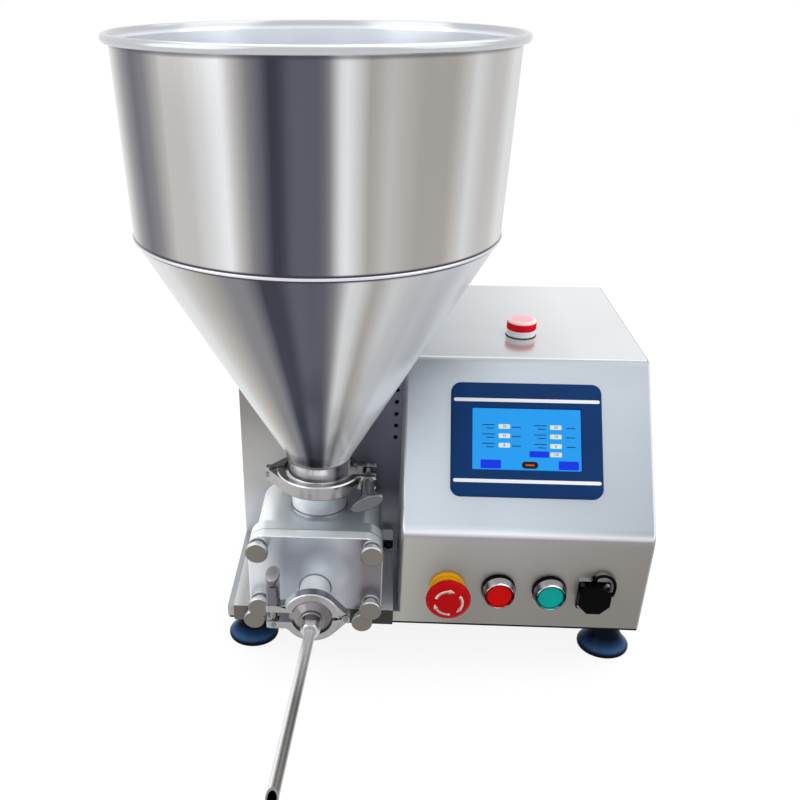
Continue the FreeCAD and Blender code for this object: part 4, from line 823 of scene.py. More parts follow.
class Finishes:
    """All finishes of the machine, made once."""

    def __init__(self, hopper: SpunSteelFinish, bore: BoreShade) -> None:
        """Make every material.

        Args:
            hopper: the hopper's own finish, which follows its sizes.
            bore: painted shade in the hollow of the filling tube.
        """
        # Painted highlight on the filling tube's left side and painted shade on its right, by the normal's X,
        # with painted shade in its bore.
        tube = SteelFinish("tube_polish", "clamp_steel", TUBE, metallic=0.80, grain=Grain.EVEN,
                           variation=0.05, fades=(TUBE_FADE, bore), normal_part=0)
        self.made: dict[str, tuple[Material, str]] = {}
        for finish in (hopper, tube, *METALS, *PLASTICS, *DISPLAY):
            self.made[finish.name] = (finish.material(), finish.slot)
            LOG.info("finish %s", finish.name)

    def material(self, name: str) -> Material:
        """Material of a finish."""
        return self.made[name][0]

    def slot(self, name: str) -> str:
        """Record's slot of a finish."""
        return self.made[name][1]


# ---------------------------------------------------------------- placing and building
@dataclass(frozen=True)
class Machine:
    """Turns the machine's own millimetres into frame metres."""

    bay_width: float = 159.0
    box_width: float = 221.0
    depth: float = 340.0
    top: float = 268.0
    slope_foot: float = 147.0
    slope_run: float = 115.0
    pipe_x: float = -76.5
    pipe_y: float = 59.0
    outlet_height: float = 89.5

    def origin(self) -> Vector:
        """Frame place of the machine's own zero."""
        low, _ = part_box("cabinet_body")
        return Vector((low[0] + self.bay_width * MM, low[1], 0.0))

    def point(self, x: float, y: float, z: float) -> Vector:
        """Frame place of a machine point."""
        return self.origin() + Vector((x, y, z)) * MM

    def pipe(self) -> Vector:
        """Frame place under the hopper's axis, at the table."""
        return self.point(self.pipe_x, self.pipe_y, 0)

    def slope(self) -> float:
        """Angle of the sloping panel, in radians."""
        return math.atan2(self.top - self.slope_foot, self.slope_run)


def placed(centre: Vector, axis: Facing) -> Matrix:
    """Matrix that puts a piece drawn along +Z at a point, along UP or FRONT."""
    turn = Matrix.Rotation(math.radians(90), 4, "X") if axis is FRONT else Matrix.Identity(4)
    return Matrix.Translation(centre) @ turn


def arc(centre: Point, radius: float, start: float, end: float, count: int) -> Profile:
    """Points on a circle's arc, angles in degrees.

    Args:
        centre: the arc's centre in the profile plane.
        radius: its radius.
        start, end: first and last angle.
        count: number of steps.
    Returns:
        count + 1 points.
    """
    angles = [math.radians(start + (end - start) * i / count) for i in range(count + 1)]
    return [(centre[0] + radius * math.cos(a), centre[1] + radius * math.sin(a)) for a in angles]


def skin(mesh: BMesh, rings: Sequence[Sequence[bmesh.types.BMVert]]) -> None:
    """Lay faces from each ring to the next; a ring of one point closes the shape.

    Args:
        mesh: mesh to add to.
        rings: rings of vertices, each of one point or of the same number as the others.
    """
    for lower, upper in zip(rings, rings[1:]):
        count = max(len(lower), len(upper))
        for i in range(count):
            j = (i + 1) % count
            unique = list(dict.fromkeys((lower[i % len(lower)], lower[j % len(lower)],
                                         upper[j % len(upper)], upper[i % len(upper)])))
            if len(unique) > 2:
                mesh.faces.new(unique)


def lathe(mesh: BMesh, profile: Profile, matrix: Matrix, segments: int, ripple: float = 0.0) -> None:
    """Turn a closed or axis-to-axis profile into a solid of revolution.

    Args:
        mesh: mesh to add to.
        profile: (radius, height) points in millimetres; a radius of 0 closes the solid.
        matrix: place of the turned piece in the frame.
        segments: steps round the axis.
        ripple: depth of flutes, one for every four segments, outside the radius FLUTES_FROM.
    """
    rings = []
    for radius, height in profile:
        if radius <= 0:
            rings.append([mesh.verts.new(matrix @ Vector((0, 0, height * MM)))])
            continue
        ring = []
        for i in range(segments):
            a = 2 * math.pi * i / segments
            r = radius - (ripple * (1 - math.cos(a * segments / 4)) / 2 if radius > FLUTES_FROM else 0)
            point = Vector((r * math.cos(a) * MM, r * math.sin(a) * MM, height * MM))
            ring.append(mesh.verts.new(matrix @ point))
        rings.append(ring)
    if profile[0][0] > 0 and profile[-1][0] > 0:
        rings.append(rings[0])
    skin(mesh, rings)
    bmesh.ops.recalc_face_normals(mesh, faces=mesh.faces)


def rounded_rectangle(width: float, height: float, corner: float, steps: int) -> Profile:
    """Outline of a rectangle with round corners, centred on zero.

    Args:
        width, height: its sizes.
        corner: radius of its corners.
        steps: steps of each corner.
    Returns:
        Its points, turning left.
    """
    outline = []
    for sx, sy, start in ((1, 1, 0), (-1, 1, 90), (-1, -1, 180), (1, -1, 270)):
        centre = (sx * (width / 2 - corner), sy * (height / 2 - corner))
        outline += arc(centre, corner, start, start + 90, steps)
    return outline


def plate(mesh: BMesh, outline: Profile, low: float, high: float, matrix: Matrix, edge: float = 0.0) -> None:
    """Flat plate over an outline, with its front edge eased.

    Args:
        mesh: mesh to add to.
        outline: points in the plate's plane, in millimetres.
        low, high: back and front of the plate.
        matrix: place of the plate in the frame.
        edge: width of the eased front edge.
    """
    centre_x = sum(x for x, _ in outline) / len(outline)
    centre_y = sum(y for _, y in outline) / len(outline)
    reach = max(abs(x - centre_x) for x, _ in outline)
    levels = [(0.0, low), (0.0, high)]
    if edge > 0:
        levels = [(0.0, low), (0.0, high - edge), (edge * 0.3, high - edge * 0.3), (edge, high)]
    rings = []
    for inset, level in levels:
        scale = 1 - inset / reach
        points = [(centre_x + (x - centre_x) * scale, centre_y + (y - centre_y) * scale) for x, y in outline]
        rings.append([mesh.verts.new(matrix @ (Vector((x, y, level)) * MM)) for x, y in points])
    skin(mesh, rings)
    mesh.faces.new(rings[-1])
    mesh.faces.new(list(reversed(rings[0])))
    bmesh.ops.recalc_face_normals(mesh, faces=mesh.faces)


def soft_shading(limit: float = 35.0) -> bpy.types.NodeTree:
    """Geometry nodes that shade faces smooth except across edges sharper than a limit.

    Args:
        limit: angle in degrees.
    Returns:
        The node group, made once.
    """
    name = "soft_shading"
    if name in bpy.data.node_groups:
        return bpy.data.node_groups[name]
    group = bpy.data.node_groups.new(name, "GeometryNodeTree")
    for way in ("INPUT", "OUTPUT"):
        group.interface.new_socket("Geometry", in_out=way, socket_type="NodeSocketGeometry")
    nodes = Nodes(group)
    source = nodes.value("NodeGroupInput")
    weld = nodes.value("GeometryNodeMergeByDistance", {0: source, "Distance": WELD_DISTANCE})
    faces = nodes.value("GeometryNodeSetShadeSmooth", {0: weld})
    angle = nodes.value("GeometryNodeInputMeshEdgeAngle")
    soft = nodes.value("FunctionNodeCompare", {0: angle, 1: math.radians(limit)}, operation="LESS_EQUAL")
    edges = nodes.value("GeometryNodeSetShadeSmooth", {0: faces, "Shade Smooth": soft}, domain="EDGE")
    nodes.node("NodeGroupOutput", {0: edges})
    return group


@dataclass
class SubAssembly:
    """What every part of the machine needs to build and dress its pieces."""

    finish_of: ClassVar[dict[str, tuple[str, ...]]] = {}
    machine: Machine
    finishes: Finishes

    def build(self) -> None:
        """Dress the part's CAD nodes and make its own pieces."""
        for finish, nodes in self.finish_of.items():
            for node in nodes:
                self._dress(node, finish)
        self._make()

    def _make(self) -> None:
        """Make the part's own pieces; a plain part has none."""

    def _dress(self, node: str, finish: str) -> None:
        """Give a CAD node its finish.

        Args:
            node: the node's name.
            finish: the finish's name.
        """
        piece = frame["nodes"][node]
        piece.data.materials.clear()
        piece.data.materials.append(self.finishes.material(finish))
        self._shade(piece)
        LOG.info("dressed %s in %s", node, finish)

    def add(self, name: str, mesh: BMesh, finish: str, body: str = MAIN_BODY,
            instead_of: Iterable[str] = ()) -> bpy.types.Object:
        """Make an object from a mesh.

        Args:
            name: the piece's name.
            mesh: its mesh, in frame metres.
            finish: the finish's name.
            body: CAD body that it rides on.
            instead_of: CAD nodes that it stands for.
        Returns:
            The object.
        """
        data = bpy.data.meshes.new(name)
        mesh.to_mesh(data)
        mesh.free()
        data.materials.append(self.finishes.material(finish))
        piece = bpy.data.objects.new(name, data)
        bpy.context.scene.collection.objects.link(piece)
        self._shade(piece)
        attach(piece, body)
        self.finishes.slot(finish)
        if instead_of:
            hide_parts(*instead_of)
        piece.visible_glossy = self.finishes.slot(finish) not in UNSEEN_IN_STEEL
        LOG.info("built %s", name)
        return piece

    def turned(self, name: str, profile: Profile, centre: Vector, finish: str, axis: Facing = UP,
               segments: int = 96, ripple: float = 0.0, **ride: "str | Iterable[str]") -> None:
        """Make an object by turning a profile.

        Args:
            name: the piece's name.
            profile: (radius, height) points in millimetres.
            centre: frame place of the profile's zero.
            finish: the finish's name.
            axis: way that the profile's height goes.
            segments: steps round the axis.
            ripple: depth of flutes.
            ride: body and instead_of, as for add.
        """
        mesh = bmesh.new()
        lathe(mesh, profile, placed(centre, axis), segments, ripple)
        self.add(name, mesh, finish, **ride)

    @staticmethod
    def _shade(piece: bpy.types.Object) -> None:
        """Shade a piece smooth between its sharp edges."""
        shading = piece.modifiers.new("shading", "NODES")
        shading.node_group = soft_shading()


@dataclass
class Hopper(SubAssembly):
    """Open spun bowl with a rolled lip, a seam bead, a cone and a short tube down to the joint."""

    top: float = 534.0
    rim_radius: float = 147.5
    lip: float = 3.2
    seam_radius: float = 144.0
    seam_height: float = 395.0
    bead: float = 1.2
    foot_radius: float = 28.3
    foot_height: float = 193.5
    bore: float = 23.8
    wall: float = 1.5
    ferrule_radius: float = 34.5
    ferrule_edge: float = 2.4
    joint: float = 173.75
    bevel: float = 2.2566

    def profile(self) -> Profile:
        """Draw the closed section of the wall.

        Returns:
            Its points, outside going up and inside coming down.
        """
        edge = self.joint + self.ferrule_edge
        brim = self.top - self.lip
        flange, foot, seam, rim = self.ferrule_radius, self.foot_radius, self.seam_radius, self.rim_radius
        outside = [(self.bore, self.joint), (flange - 0.4, self.joint), (flange, self.joint + 0.4),
                   (flange, edge), (foot + 0.6, edge + self.bevel - 0.2), (foot, edge + self.bevel + 0.5),
                   (foot, self.foot_height - 3.0), (foot + 0.5, self.foot_height)]
        outside += self.straight((foot + 2.6, self.foot_height + 4.2),
                                 (seam - 0.4, self.seam_height - 0.96 * self.bead))
        outside += arc((seam - 0.1, self.seam_height), self.bead, -75, 75, 8)
        outside += self.straight((seam + 0.1, self.seam_height + self.bead + 0.4), (rim, brim - 4.2))
        outside += arc((rim + self.lip - self.wall / 2, brim), self.lip, -125, 120, 16)
        inside = self.straight((rim - self.wall, brim - 2), (seam - self.wall, self.seam_height + 1))
        inside += self.straight((seam - self.wall - 1, self.seam_height - 2),
                                (self.bore + 3.5, self.foot_height + 7.5))
        return outside + inside + [(self.bore, self.foot_height + 2)]

    @staticmethod
    def straight(start: Point, end: Point, guard: float = 1.5) -> Profile:
        """Draw a straight wall whose shading is round only at its ends.

        Args:
            start, end: its ends.
            guard: distance of a further point from each end.
        Returns:
            Its four points.
        """
        step = (Vector(end) - Vector(start)).normalized() * guard
        return [start, tuple(Vector(start) + step), tuple(Vector(end) - step), end]

    def _make(self) -> None:
        """Build the bowl and the weld at its foot."""
        centre = self.machine.pipe()
        self.turned("hopper_bowl", self.profile(), centre, "spun_steel", segments=192, instead_of=["hopper"])
        ring = arc((self.foot_radius, self.foot_height - 0.6), 0.7, 0, 360, 10)[:-1]
        self.turned("spool_weld", ring, centre, "weld_steel", segments=120)


@dataclass
class PumpHead(SubAssembly):
    """Gear pump with its cover, neck, knobs, rotors and drive, and the welds of its neck and outlet."""

    finish_of = {
        "satin_casting": ("pump_body", "pump_cover", "drive_housing"),
        "plate_sheet": ("pump_plate",),
        "turned_satin": ("cover_knob_upper_left", "cover_knob_upper_right", "cover_knob_lower_left",
                         "cover_knob_lower_right", "plate_knob_left", "plate_knob_right"),
        "ground_shaft": ("drive_rotor", "idler_rotor", "drive_shaft", "idler_shaft"),
        "bush_bronze": ("shaft_bushes",),
        "matt_rubber": ("pump_seals",),
        "gloss_black": ("pump_eye",),
        "machined_alloy": ("shaft_coupling",),
        "motor_paint": ("gear_motor",),
        "black_paint": ("motor_bracket",),
    }
    neck_weld: Profile = ((25.3, 142.9), (26.5, 142.95), (26.0, 143.6), (25.3, 144.1))
    spout_weld: Profile = ((13.7, 2.9), (14.8, 2.95), (14.3, 3.6), (13.7, 4.2))

    def _make(self) -> None:
        """Fillet welds where the neck and the outlet meet the pump."""
        m = self.machine
        self.turned("neck_weld", self.neck_weld, m.pipe(), "weld_steel")
        self.turned("spout_weld", self.spout_weld, m.point(m.pipe_x, 0, m.outlet_height), "weld_steel", FRONT)


@dataclass
class Clamps(SubAssembly):
    """Both pipe clamps with their swing bolts and wing nuts."""

    finish_of = {
        "cast_polish": ("inlet_jaw_rear", "inlet_jaw_front", "outlet_jaw_lower", "outlet_jaw_upper"),
        "wing_polish": ("inlet_wing_nut", "outlet_wing_nut"),
        "nozzle_polish": ("inlet_bolt", "outlet_bolt", "clamp_pins"),
        "matt_rubber": ("clamp_gaskets",),
    }


@dataclass
class Nozzle(SubAssembly):
    """Cap, hexagon nut and thin filling tube."""

    finish_of = {
        "nozzle_polish": ("nozzle_cap",),
        "nut_polish": ("nozzle_nut",),
        "tube_polish": ("nozzle_tube",),
    }


@dataclass
class Cabinet(SubAssembly):
    """Sheet metal housing with its base, covers and feet."""

    finish_of = {
        "brushed_sheet": ("cabinet_body", "rear_cover"),
        "black_paint": ("base_plate",),
        "ground_shaft": ("panel_screws", "foot_studs"),
        "machined_alloy": ("power_supply",),
        "gloss_black": ("power_inlet",),
    }
    foot_radius: float = 24.5
    foot_height: float = 49.5
    neck_radius: float = 12.5
    sole_height: float = 4.6
    flare_height: float = 27.0
    flare_power: float = 1.9
    flare_steps: int = 14
    foot_inset_x: float = 17.0
    foot_inset_y: float = 43.0

    def foot_profile(self) -> Profile:
        """Draw the bell of one foot.

        Returns:
            Its section, from the middle of its underside to the middle of its top.
        """
        r = self.foot_radius
        h = self.foot_height
        neck = self.neck_radius
        rise = self.flare_height - self.sole_height
        bell: Profile = [(0, 0.6), (r - 6, 0.6), (r - 5, 0), (r - 1.4, 0), (r - 0.3, 0.7), (r, 1.8), (r, 3.4),
                         (r - 0.5, 4.4)]
        for i in range(1, self.flare_steps + 1):
            t = i / self.flare_steps
            bell.append((neck + (r - 0.6 - neck) * (1 - t) ** self.flare_power, self.sole_height + rise * t))
        return bell + [(neck, h - 0.8), (neck - 0.7, h - 0.1), (0, h - 0.1)]

    def _make(self) -> None:
        """Four bell-shaped rubber feet."""
        m = self.machine
        feet = bmesh.new()
        for x in (-m.bay_width + self.foot_inset_x, m.box_width - self.foot_inset_x):
            for y in (self.foot_inset_y, m.depth - self.foot_inset_y):
                lathe(feet, self.foot_profile(), placed(m.point(x, y, 0), UP), 72)
        self.add("feet_bells", feet, "foot_rubber", instead_of=["rubber_feet"])


@dataclass(frozen=True)
class Field:
    """One raised field of the display; x and y are shares of the lit face from its upper left corner."""

    x: float
    y: float
    width: float
    height: float
    corner: float
    rise: float = 0.06


@dataclass
class TouchPanel(SubAssembly):
    """Display on the slope: frame, white lines, lit face and its plain fields."""

    finish_of = {"black_paint": ("screen_housing",)}
    centre_x: float = 108.5
    centre_up: float = 88.6
    width: float = 134.0
    height: float = 106.0
    thick: float = 5.0
    corner: float = 9.0
    corner_steps: int = 8
    lit_width: float = 96.0
    lit_height: float = 57.0
    glass_low: float = 2.6
    glass_face: float = 4.4
    line_places: Point = (35.9, -39.3)
    line_size: Triple = (129.6, 3.2, 1.5)
    columns: Point = (0.295, 0.768)
    rows: Triple = (0.300, 0.452, 0.606)
    last_row: float = 0.742
    box: Triple = (10.2, 4.2, 0.8)
    keys: tuple[Field, ...] = (Field(0.170, 0.915, 18.0, 8.0, 0.8), Field(0.882, 0.915, 17.6, 8.0, 0.8),
                               Field(0.614, last_row, 17.0, 5.8, 0.8))
    oval: Field = Field(0.529, 0.920, 14.4, 6.4, 3.0)
    oval_bar: Field = Field(0.529, 0.920, 8.0, 1.5, 0.6, 0.10)
    mark: Triple = (0.8, 0.35, 0.04)
    numbers: tuple[str, ...] = ("20", "15", "8", "30", "10", "6", "120")
    digit_height: float = 3.6

    def matrix(self) -> Matrix:
        """Find the display on the slope.

        Returns:
            Matrix with X to the right, Y up the slope and Z out of the panel.
        """
        m = self.machine
        rise = m.slope()
        centre = m.point(self.centre_x, self.centre_up * math.cos(rise),
                         m.slope_foot + self.centre_up * math.sin(rise))
        return Matrix.Translation(centre) @ Matrix.Rotation(rise, 4, "X")

    def _make(self) -> None:
        """Build the display."""
        self._frame()
        self._lines()
        self._glass()
        self._fields()
        self._numbers()

    def _frame(self) -> None:
        """Moulded frame with a window, its outer edge rolled over."""
        matrix = self.matrix()
        mesh = bmesh.new()
        outlines = []
        for inset, level in ((0.0, 0.0), (0.0, 3.2), (0.35, 4.2), (1.0, 4.8), (1.9, self.thick)):
            size = (self.width - 2 * inset, self.height - 2 * inset, self.corner - inset)
            outlines.append((size, level))
        for grow, level in ((0.8, self.thick), (0.3, self.glass_face + 0.1), (0.0, self.glass_low),
                            (-2.0, self.glass_low), (-2.0, 0.0)):
            size = (self.lit_width + 2 * grow, self.lit_height + 2 * grow, 1.0 + max(grow, 0))
            outlines.append((size, level))
        rings = [[mesh.verts.new(matrix @ (Vector((x, y, level)) * MM))
                  for x, y in rounded_rectangle(*size, self.corner_steps)] for size, level in outlines]
        skin(mesh, rings + rings[:1])
        bmesh.ops.recalc_face_normals(mesh, faces=mesh.faces)
        self.add("display_frame", mesh, "panel_navy", instead_of=["screen_bezel"])

    def _lines(self) -> None:
        """White lines across the frame, above and below the display."""
        mesh = bmesh.new()
        for y in self.line_places:
            outline = [(x, y + dy) for x, dy in rounded_rectangle(*self.line_size, 4)]
            plate(mesh, outline, self.thick - 0.6, self.thick + 0.15, self.matrix(), 0.1)
        self.add("display_lines", mesh, "stripe_white")

    def _glass(self) -> None:
        """Lit face of the display."""
        mesh = bmesh.new()
        outline = rounded_rectangle(self.lit_width - 0.4, self.lit_height - 0.4, 0.8, 3)
        plate(mesh, outline, self.glass_low + 0.05, self.glass_face, self.matrix())
        self.add("display_glass", mesh, "display_sky", instead_of=["screen_glass"])

    def _on_glass(self, x: float, y: float) -> Point:
        """Place on the display, from shares of the lit face."""
        return (x - 0.5) * self.lit_width, (0.5 - y) * self.lit_height

    def _raise(self, name: str, finish: str, fields: Iterable[Field]) -> None:
        """Raise fields of one kind.

        Args:
            name: the piece's name.
            finish: the finish's name.
            fields: the fields.
        """
        mesh = bmesh.new()
        for field in fields:
            cx, cy = self._on_glass(field.x, field.y)
            outline = rounded_rectangle(field.width, field.height, field.corner, 4)
            outline = [(cx + px, cy + py) for px, py in outline]
            plate(mesh, outline, self.glass_face - 0.1, self.glass_face + field.rise, self.matrix())
        self.add(name, mesh, finish)

    def _boxes(self) -> list[Point]:
        """Places of the number boxes, as shares of the lit face."""
        return [(x, y) for x in self.columns for y in self.rows] + [(self.columns[1], self.last_row)]

    def _fields(self) -> None:
        """Number boxes, keys and short marks on the display."""
        self._raise("display_boxes", "display_white", [Field(x, y, *self.box) for x, y in self._boxes()])
        self._raise("display_keys", "display_blue", self.keys)
        self._raise("display_oval", "display_dark", [self.oval])
        self._raise("display_oval_bar", "display_amber", [self.oval_bar])
        marks = []
        for y in self.rows:
            for x in (0.150, 0.625):
                marks += [(x, y - 0.025, 11.0), (x + 0.015, y + 0.030, 7.0)]
            marks += [(x, y + 0.01, 8.0) for x in (0.405, 0.905)]
        self._raise("display_marks", "display_ink", [Field(*mark, *self.mark) for mark in marks])

    def _numbers(self) -> None:
        """Plain numbers in the boxes."""
        mesh = bmesh.new()
        for (x, y), digits in zip(self._boxes(), self.numbers):
            curve = bpy.data.curves.new("digits", "FONT")
            curve.body = digits
            curve.size = self.digit_height * MM
            curve.align_x = "CENTER"
            curve.align_y = "CENTER"
            curve.extrude = 0.03 * MM
            text = bpy.data.objects.new("digits", curve)
            bpy.context.scene.collection.objects.link(text)
            bpy.context.view_layer.update()
            flat = bpy.data.meshes.new_from_object(text)
            place = Vector((*self._on_glass(x, y), self.glass_face + 0.09)) * MM
            flat.transform(self.matrix() @ Matrix.Translation(place))
            mesh.from_mesh(flat)
            bpy.data.objects.remove(text)
        self.add("display_numbers", mesh, "display_ink")


@dataclass
class SwitchRow(SubAssembly):
    """Stop head, two push buttons and the pedal socket on the front panel."""

    finish_of = {
        "gloss_yellow": ("estop_collar", "estop_barrel"),
        "button_red": ("stop_button",),
        "button_teal": ("start_button",),
        "gloss_black": ("estop_stem", "button_bases", "contact_blocks", "panel_nuts", "socket_cap",
                        "socket_tether"),
        "bright_plate": ("button_bezels", "pedal_socket"),
    }
    row: float = 92.5
    estop_x: float = 43.0
    head_radius: float = 20.0
    head_face: float = 26.4
    head_back: float = 11.6
    head_drop: float = 3.6
    head_power: float = 3.2
    arrow_radius: float = 12.2
    arrow_half_width: float = 1.15
    arrow_starts: Triple = (158.0, 38.0, 278.0)
    arrow_sweep: float = 90.0
    arrow_steps: int = 14
    point_steps: int = 3
    point_widening: float = 1.7

    def dome(self, radius: float) -> float:
        """Height of the stop head's face at a radius."""
        return self.head_face - self.head_drop * (radius / self.head_radius) ** self.head_power

    def _make(self) -> None:
        """Mushroom head with a domed face and a rounded rim, and its arrows."""
        r = self.head_radius
        rim = self.dome(r)
        back = self.head_back
        deep = self.head_face - 4.7
        centre = self.machine.point(self.estop_x, 0, self.row)
        profile: Profile = [(radius, self.dome(radius)) for radius in (r * 0.1 * i for i in range(10))]
        profile += [(r - 0.8, rim - 0.6), (r - 0.1, rim - 1.8), (r, rim - 3.0), (r - 0.3, rim - 4.4),
                    (r - 1.2, rim - 6.0), (15.2, back), (11.7, back), (11.7, back + 3), (4.1, back + 3),
                    (4.1, deep), (0, deep)]
        self.turned("estop_head", profile, centre, "gloss_red", FRONT, body="estop_cap",
                    instead_of=["estop_cap"])
        self._arrows(placed(centre, FRONT))

    def _arrows(self, matrix: Matrix) -> None:
        """Lay three curved arrows, which show how the head is turned to free it.

        Args:
            matrix: place of the head in the frame.
        """
        mesh = bmesh.new()
        for start in self.arrow_starts:
            rails = []
            for i in range(self.arrow_steps + 1):
                angle = math.radians(start - self.arrow_sweep * i / self.arrow_steps)
                left = self.arrow_steps - i
                widen = self.arrow_half_width
                if left <= self.point_steps:
                    widen *= self.point_widening * left / self.point_steps + 0.05
                rails.append([(self.arrow_radius + side * widen, angle) for side in (-1, 1)])
            for low, high in zip(rails, rails[1:]):
                corners = (low[0], low[1], high[1], high[0])
                top, base = ([mesh.verts.new(matrix @ self._on_dome(*corner, rise)) for corner in corners]
                             for rise in (0.10, -0.25))
                mesh.faces.new(top)
                mesh.faces.new(list(reversed(base)))
                skin(mesh, (base, top))
        bmesh.ops.recalc_face_normals(mesh, faces=mesh.faces)
        self.add("estop_arrows", mesh, "arrow_white", "estop_cap")

    def _on_dome(self, radius: float, angle: float, rise: float) -> Vector:
        """Place above the head's face, in metres from the head's zero."""
        return Vector((radius * math.cos(angle), radius * math.sin(angle), self.dome(radius) + rise)) * MM


@dataclass
class SignalLamp(SubAssembly):
    """Fluted red lamp on the top."""

    finish_of = {"lamp_white": ("signal_lamp_base",)}
    x: float = 112.0
    y: float = 179.5
    base_height: float = 4.6
    lens_radius: float = 14.2
    lens_height: float = 11.8
    lens_bevel: float = 3.4
    lens_ripple: float = 0.45
    rim_height: float = 1.8
    # Dark rubber ring round the lamp's foot: a seal, and also painted shade for the shadow line where the
    # lamp meets the top.
    seal_and_shade: Profile = ((13.9, 0.1), (14.6, 0.1), (14.6, 0.7), (13.9, 0.9))

    def _make(self) -> None:
        """Build the lens, the rim under it and a dark ring on the top, a seal that is also painted shade at
        the lamp's foot.
        """
        r = self.lens_radius
        h = self.lens_height
        b = self.lens_bevel
        rim = self.rim_height
        foot = self.machine.point(self.x, self.y, self.machine.top)
        base = self.machine.point(self.x, self.y, self.machine.top + self.base_height)
        lens: Profile = [(0, rim), (r - 0.5, rim), (r - 0.1, rim + 0.5), (r - 0.1, h - b),
                         (r - 0.3 * b, h - 0.45 * b), (r - 0.7 * b, h - 0.2 * b), (r - 1.1 * b, h - 0.08 * b),
                         (r * 0.5, h - 0.15), (0, h - 0.1)]
        self.turned("lamp_lens", lens, base, "lamp_red", segments=144, ripple=self.lens_ripple,
                    instead_of=["signal_lamp_lens"])
        ring: Profile = [(0, 0), (r - 0.4, 0), (r, 0.4), (r, rim - 0.3), (r - 0.4, rim), (0, rim)]
        self.turned("lamp_rim", ring, base, "lamp_white")
        # Dark ring at the lamp's foot, seal and painted shade.
        self.turned("lamp_seal_and_shade", self.seal_and_shade, foot, "matt_rubber")


# ---------------------------------------------------------------- studio
@dataclass(frozen=True)
class CameraSizes:
    """Where the camera stands, in machine millimetres and radians."""

    place: tuple[float, float, float] = (-25.41, -689.08, 571.73)
    pitch: float = 0.5478
    roll: float = 0.0005
    yaw: float = 0.0545
    lens: float = 41.35
    sensor: float = 36.0
    shift_x: float = 0.0870
    shift_y: float = 0.1607


@dataclass(frozen=True)
class SoftBox:
    """A large rectangular lamp, placed in metres and aimed at the machine."""

    name: str
    place: tuple[float, float, float]
    size: tuple[float, float]
    power: float
    tint: Colour = WHITE


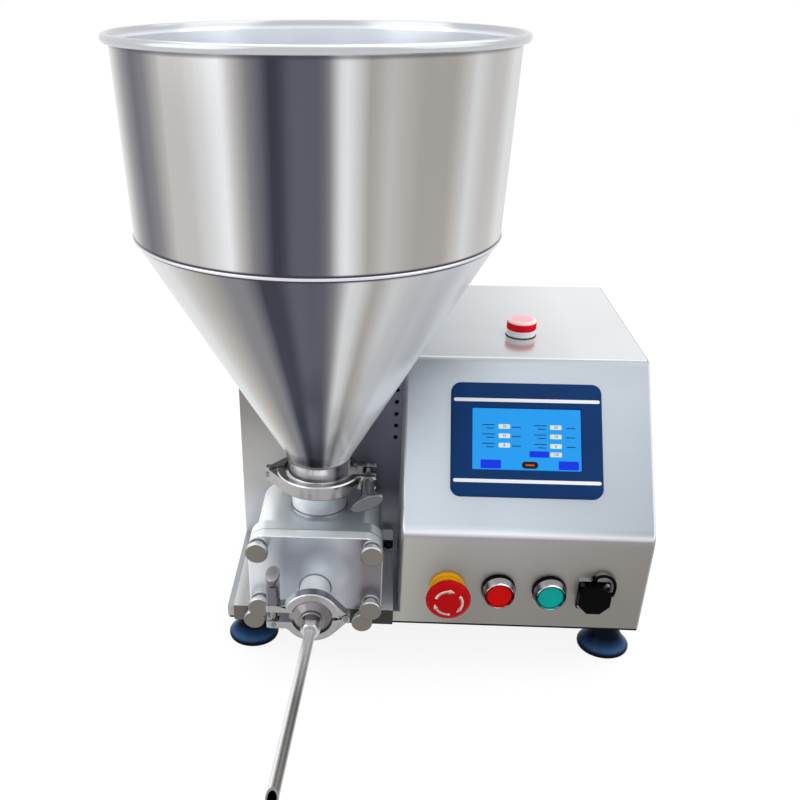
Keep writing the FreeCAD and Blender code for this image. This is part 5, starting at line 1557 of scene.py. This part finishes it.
@dataclass
class Studio:
    """Camera, pale floor, world and lamps."""

    machine: Machine
    camera: CameraSizes = CameraSizes()
    lamps: tuple[SoftBox, ...] = (
        SoftBox("top_box", (0.1, 0.35, 1.7), (2.2, 1.9), 14.0, (1.0, 0.99, 0.98)),
        SoftBox("left_box", (-1.6, -0.7, 1.2), (1.7, 1.9), 9.5),
        SoftBox("right_box", (1.6, -0.4, 1.3), (1.5, 1.8), 6.0, (0.96, 0.98, 1.0)),
    )
    target: Triple = (0.0, -0.05, 0.2)
    ambient: float = 0.68
    floor_side: float = 8.0
    floor_drop: float = 0.0003
    floor_greys: Point = (0.80, 0.17)
    floor_glow: float = 0.88

    def build(self) -> None:
        """Set up everything round the machine."""
        self._camera()
        self._world()
        self._floor()
        for lamp in self.lamps:
            self._lamp(lamp)
        bpy.context.scene.view_settings.view_transform = "Standard"

    def _camera(self) -> None:
        """Camera at its own height, turned and shifted."""
        c = self.camera
        data = bpy.data.cameras.new("camera")
        data.sensor_width = c.sensor
        data.lens = c.lens
        data.shift_x = c.shift_x
        data.shift_y = c.shift_y
        data.clip_start = 0.01
        data.dof.use_dof = False
        camera = bpy.data.objects.new("camera", data)
        turn = Matrix.Rotation(c.yaw, 4, "Z") @ Matrix.Rotation(math.radians(90) - c.pitch, 4, "X")
        turn = turn @ Matrix.Rotation(c.roll, 4, "Z")
        camera.matrix_world = Matrix.Translation(self.machine.point(*c.place)) @ turn
        bpy.context.scene.collection.objects.link(camera)
        bpy.context.scene.camera = camera
        LOG.info("camera placed")

    @staticmethod
    def _background_rays(nodes: Nodes) -> Value:
        """Find the rays that see the plain background.

        Args:
            nodes: node tree to add to.
        Returns:
            One for rays from the camera and for rays that metal or glass sends on, else zero.
        """
        path = nodes.node("ShaderNodeLightPath")
        camera, glossy, through = (Value(nodes, path.outputs[f"Is {kind} Ray"])
                                   for kind in ("Camera", "Glossy", "Transmission"))
        return nodes.math("MINIMUM", camera + glossy + through, 1.0)

    def _world(self) -> None:
        """White behind the machine, even and softer as light."""
        world = bpy.data.worlds.new("studio")
        world.use_nodes = True
        bpy.context.scene.world = world
        nodes = Nodes(world.node_tree)
        seen = self._background_rays(nodes)
        strength = seen * (1 - self.ambient) + self.ambient
        light = nodes.value("ShaderNodeBackground", {"Color": WHITE, "Strength": strength})
        nodes.node("ShaderNodeOutputWorld", {0: light})

    def _floor(self) -> None:
        """Pale floor that keeps a faint shadow."""
        half = self.floor_side / 2
        corners = [(x * half, y * half, -self.floor_drop) for x, y in ((-1, -1), (1, -1), (1, 1), (-1, 1))]
        mesh = bpy.data.meshes.new("floor")
        mesh.from_pydata(corners, [], [(0, 1, 2, 3)])
        floor = bpy.data.objects.new("floor", mesh)
        material = bpy.data.materials.new("pale_floor")
        material.use_nodes = True
        nodes = Nodes(material.node_tree)
        seen = self._background_rays(nodes)
        plain, faint = (nodes.value("ShaderNodeBsdfDiffuse", {"Color": (grey, grey, grey)})
                        for grey in self.floor_greys)
        glow = nodes.value("ShaderNodeEmission", {"Color": WHITE, "Strength": self.floor_glow})
        white = nodes.value("ShaderNodeAddShader", {0: faint, 1: glow})
        shown = nodes.value("ShaderNodeMixShader", {0: seen, 1: plain, 2: white})
        nodes.node("ShaderNodeOutputMaterial", {0: shown})
        mesh.materials.append(material)
        bpy.context.scene.collection.objects.link(floor)
        LOG.info("floor laid")

    def _lamp(self, lamp: SoftBox) -> None:
        """Hang one soft box and aim it.

        Args:
            lamp: its sizes and place.
        """
        data = bpy.data.lights.new(lamp.name, "AREA")
        data.shape = "RECTANGLE"
        data.size, data.size_y = lamp.size
        data.energy = lamp.power
        data.color = lamp.tint
        light = bpy.data.objects.new(lamp.name, data)
        place = Vector(lamp.place)
        turn = (Vector(self.target) - place).to_track_quat("-Z", "Y").to_matrix().to_4x4()
        light.matrix_world = Matrix.Translation(place) @ turn
        light.visible_camera = False
        bpy.context.scene.collection.objects.link(light)
        LOG.info("lamp %s hung", lamp.name)


def tube_bore_shade(wall: float = 1.6) -> BoreShade:
    """Painted shade in the hollow of the filling tube, from the record's nozzle.

    Args:
        wall: the tube's wall in millimetres.
    Returns:
        The bore's line and radius.
    """
    nozzle = next(mount for mount in frame["record"]["mounts"] if mount["name"] == "nozzle")
    return BoreShade(tuple(nozzle["pos_m"]), tuple(nozzle["axis"]), (nozzle["dims"]["r_mm"] - wall) * MM)


def main() -> None:
    """Build the studio and every sub-assembly in order."""
    logging.basicConfig(level=logging.INFO, format="%(name)s: %(message)s")
    machine = Machine()
    Studio(machine).build()
    pipe = machine.pipe()
    spun = SpunSteelFinish("spun_steel", "hopper_steel", (pipe.x, pipe.y), (Hopper.top - 2 * Hopper.lip) * MM,
                           Hopper.seam_height * MM, Hopper.foot_height * MM)
    finishes = Finishes(spun, tube_bore_shade())
    for part in (Cabinet, TouchPanel, SwitchRow, SignalLamp, PumpHead, Clamps, Nozzle, Hopper):
        part(machine, finishes).build()
        LOG.info("%s done", part.__name__)


if __name__ == "__main__":
    main()
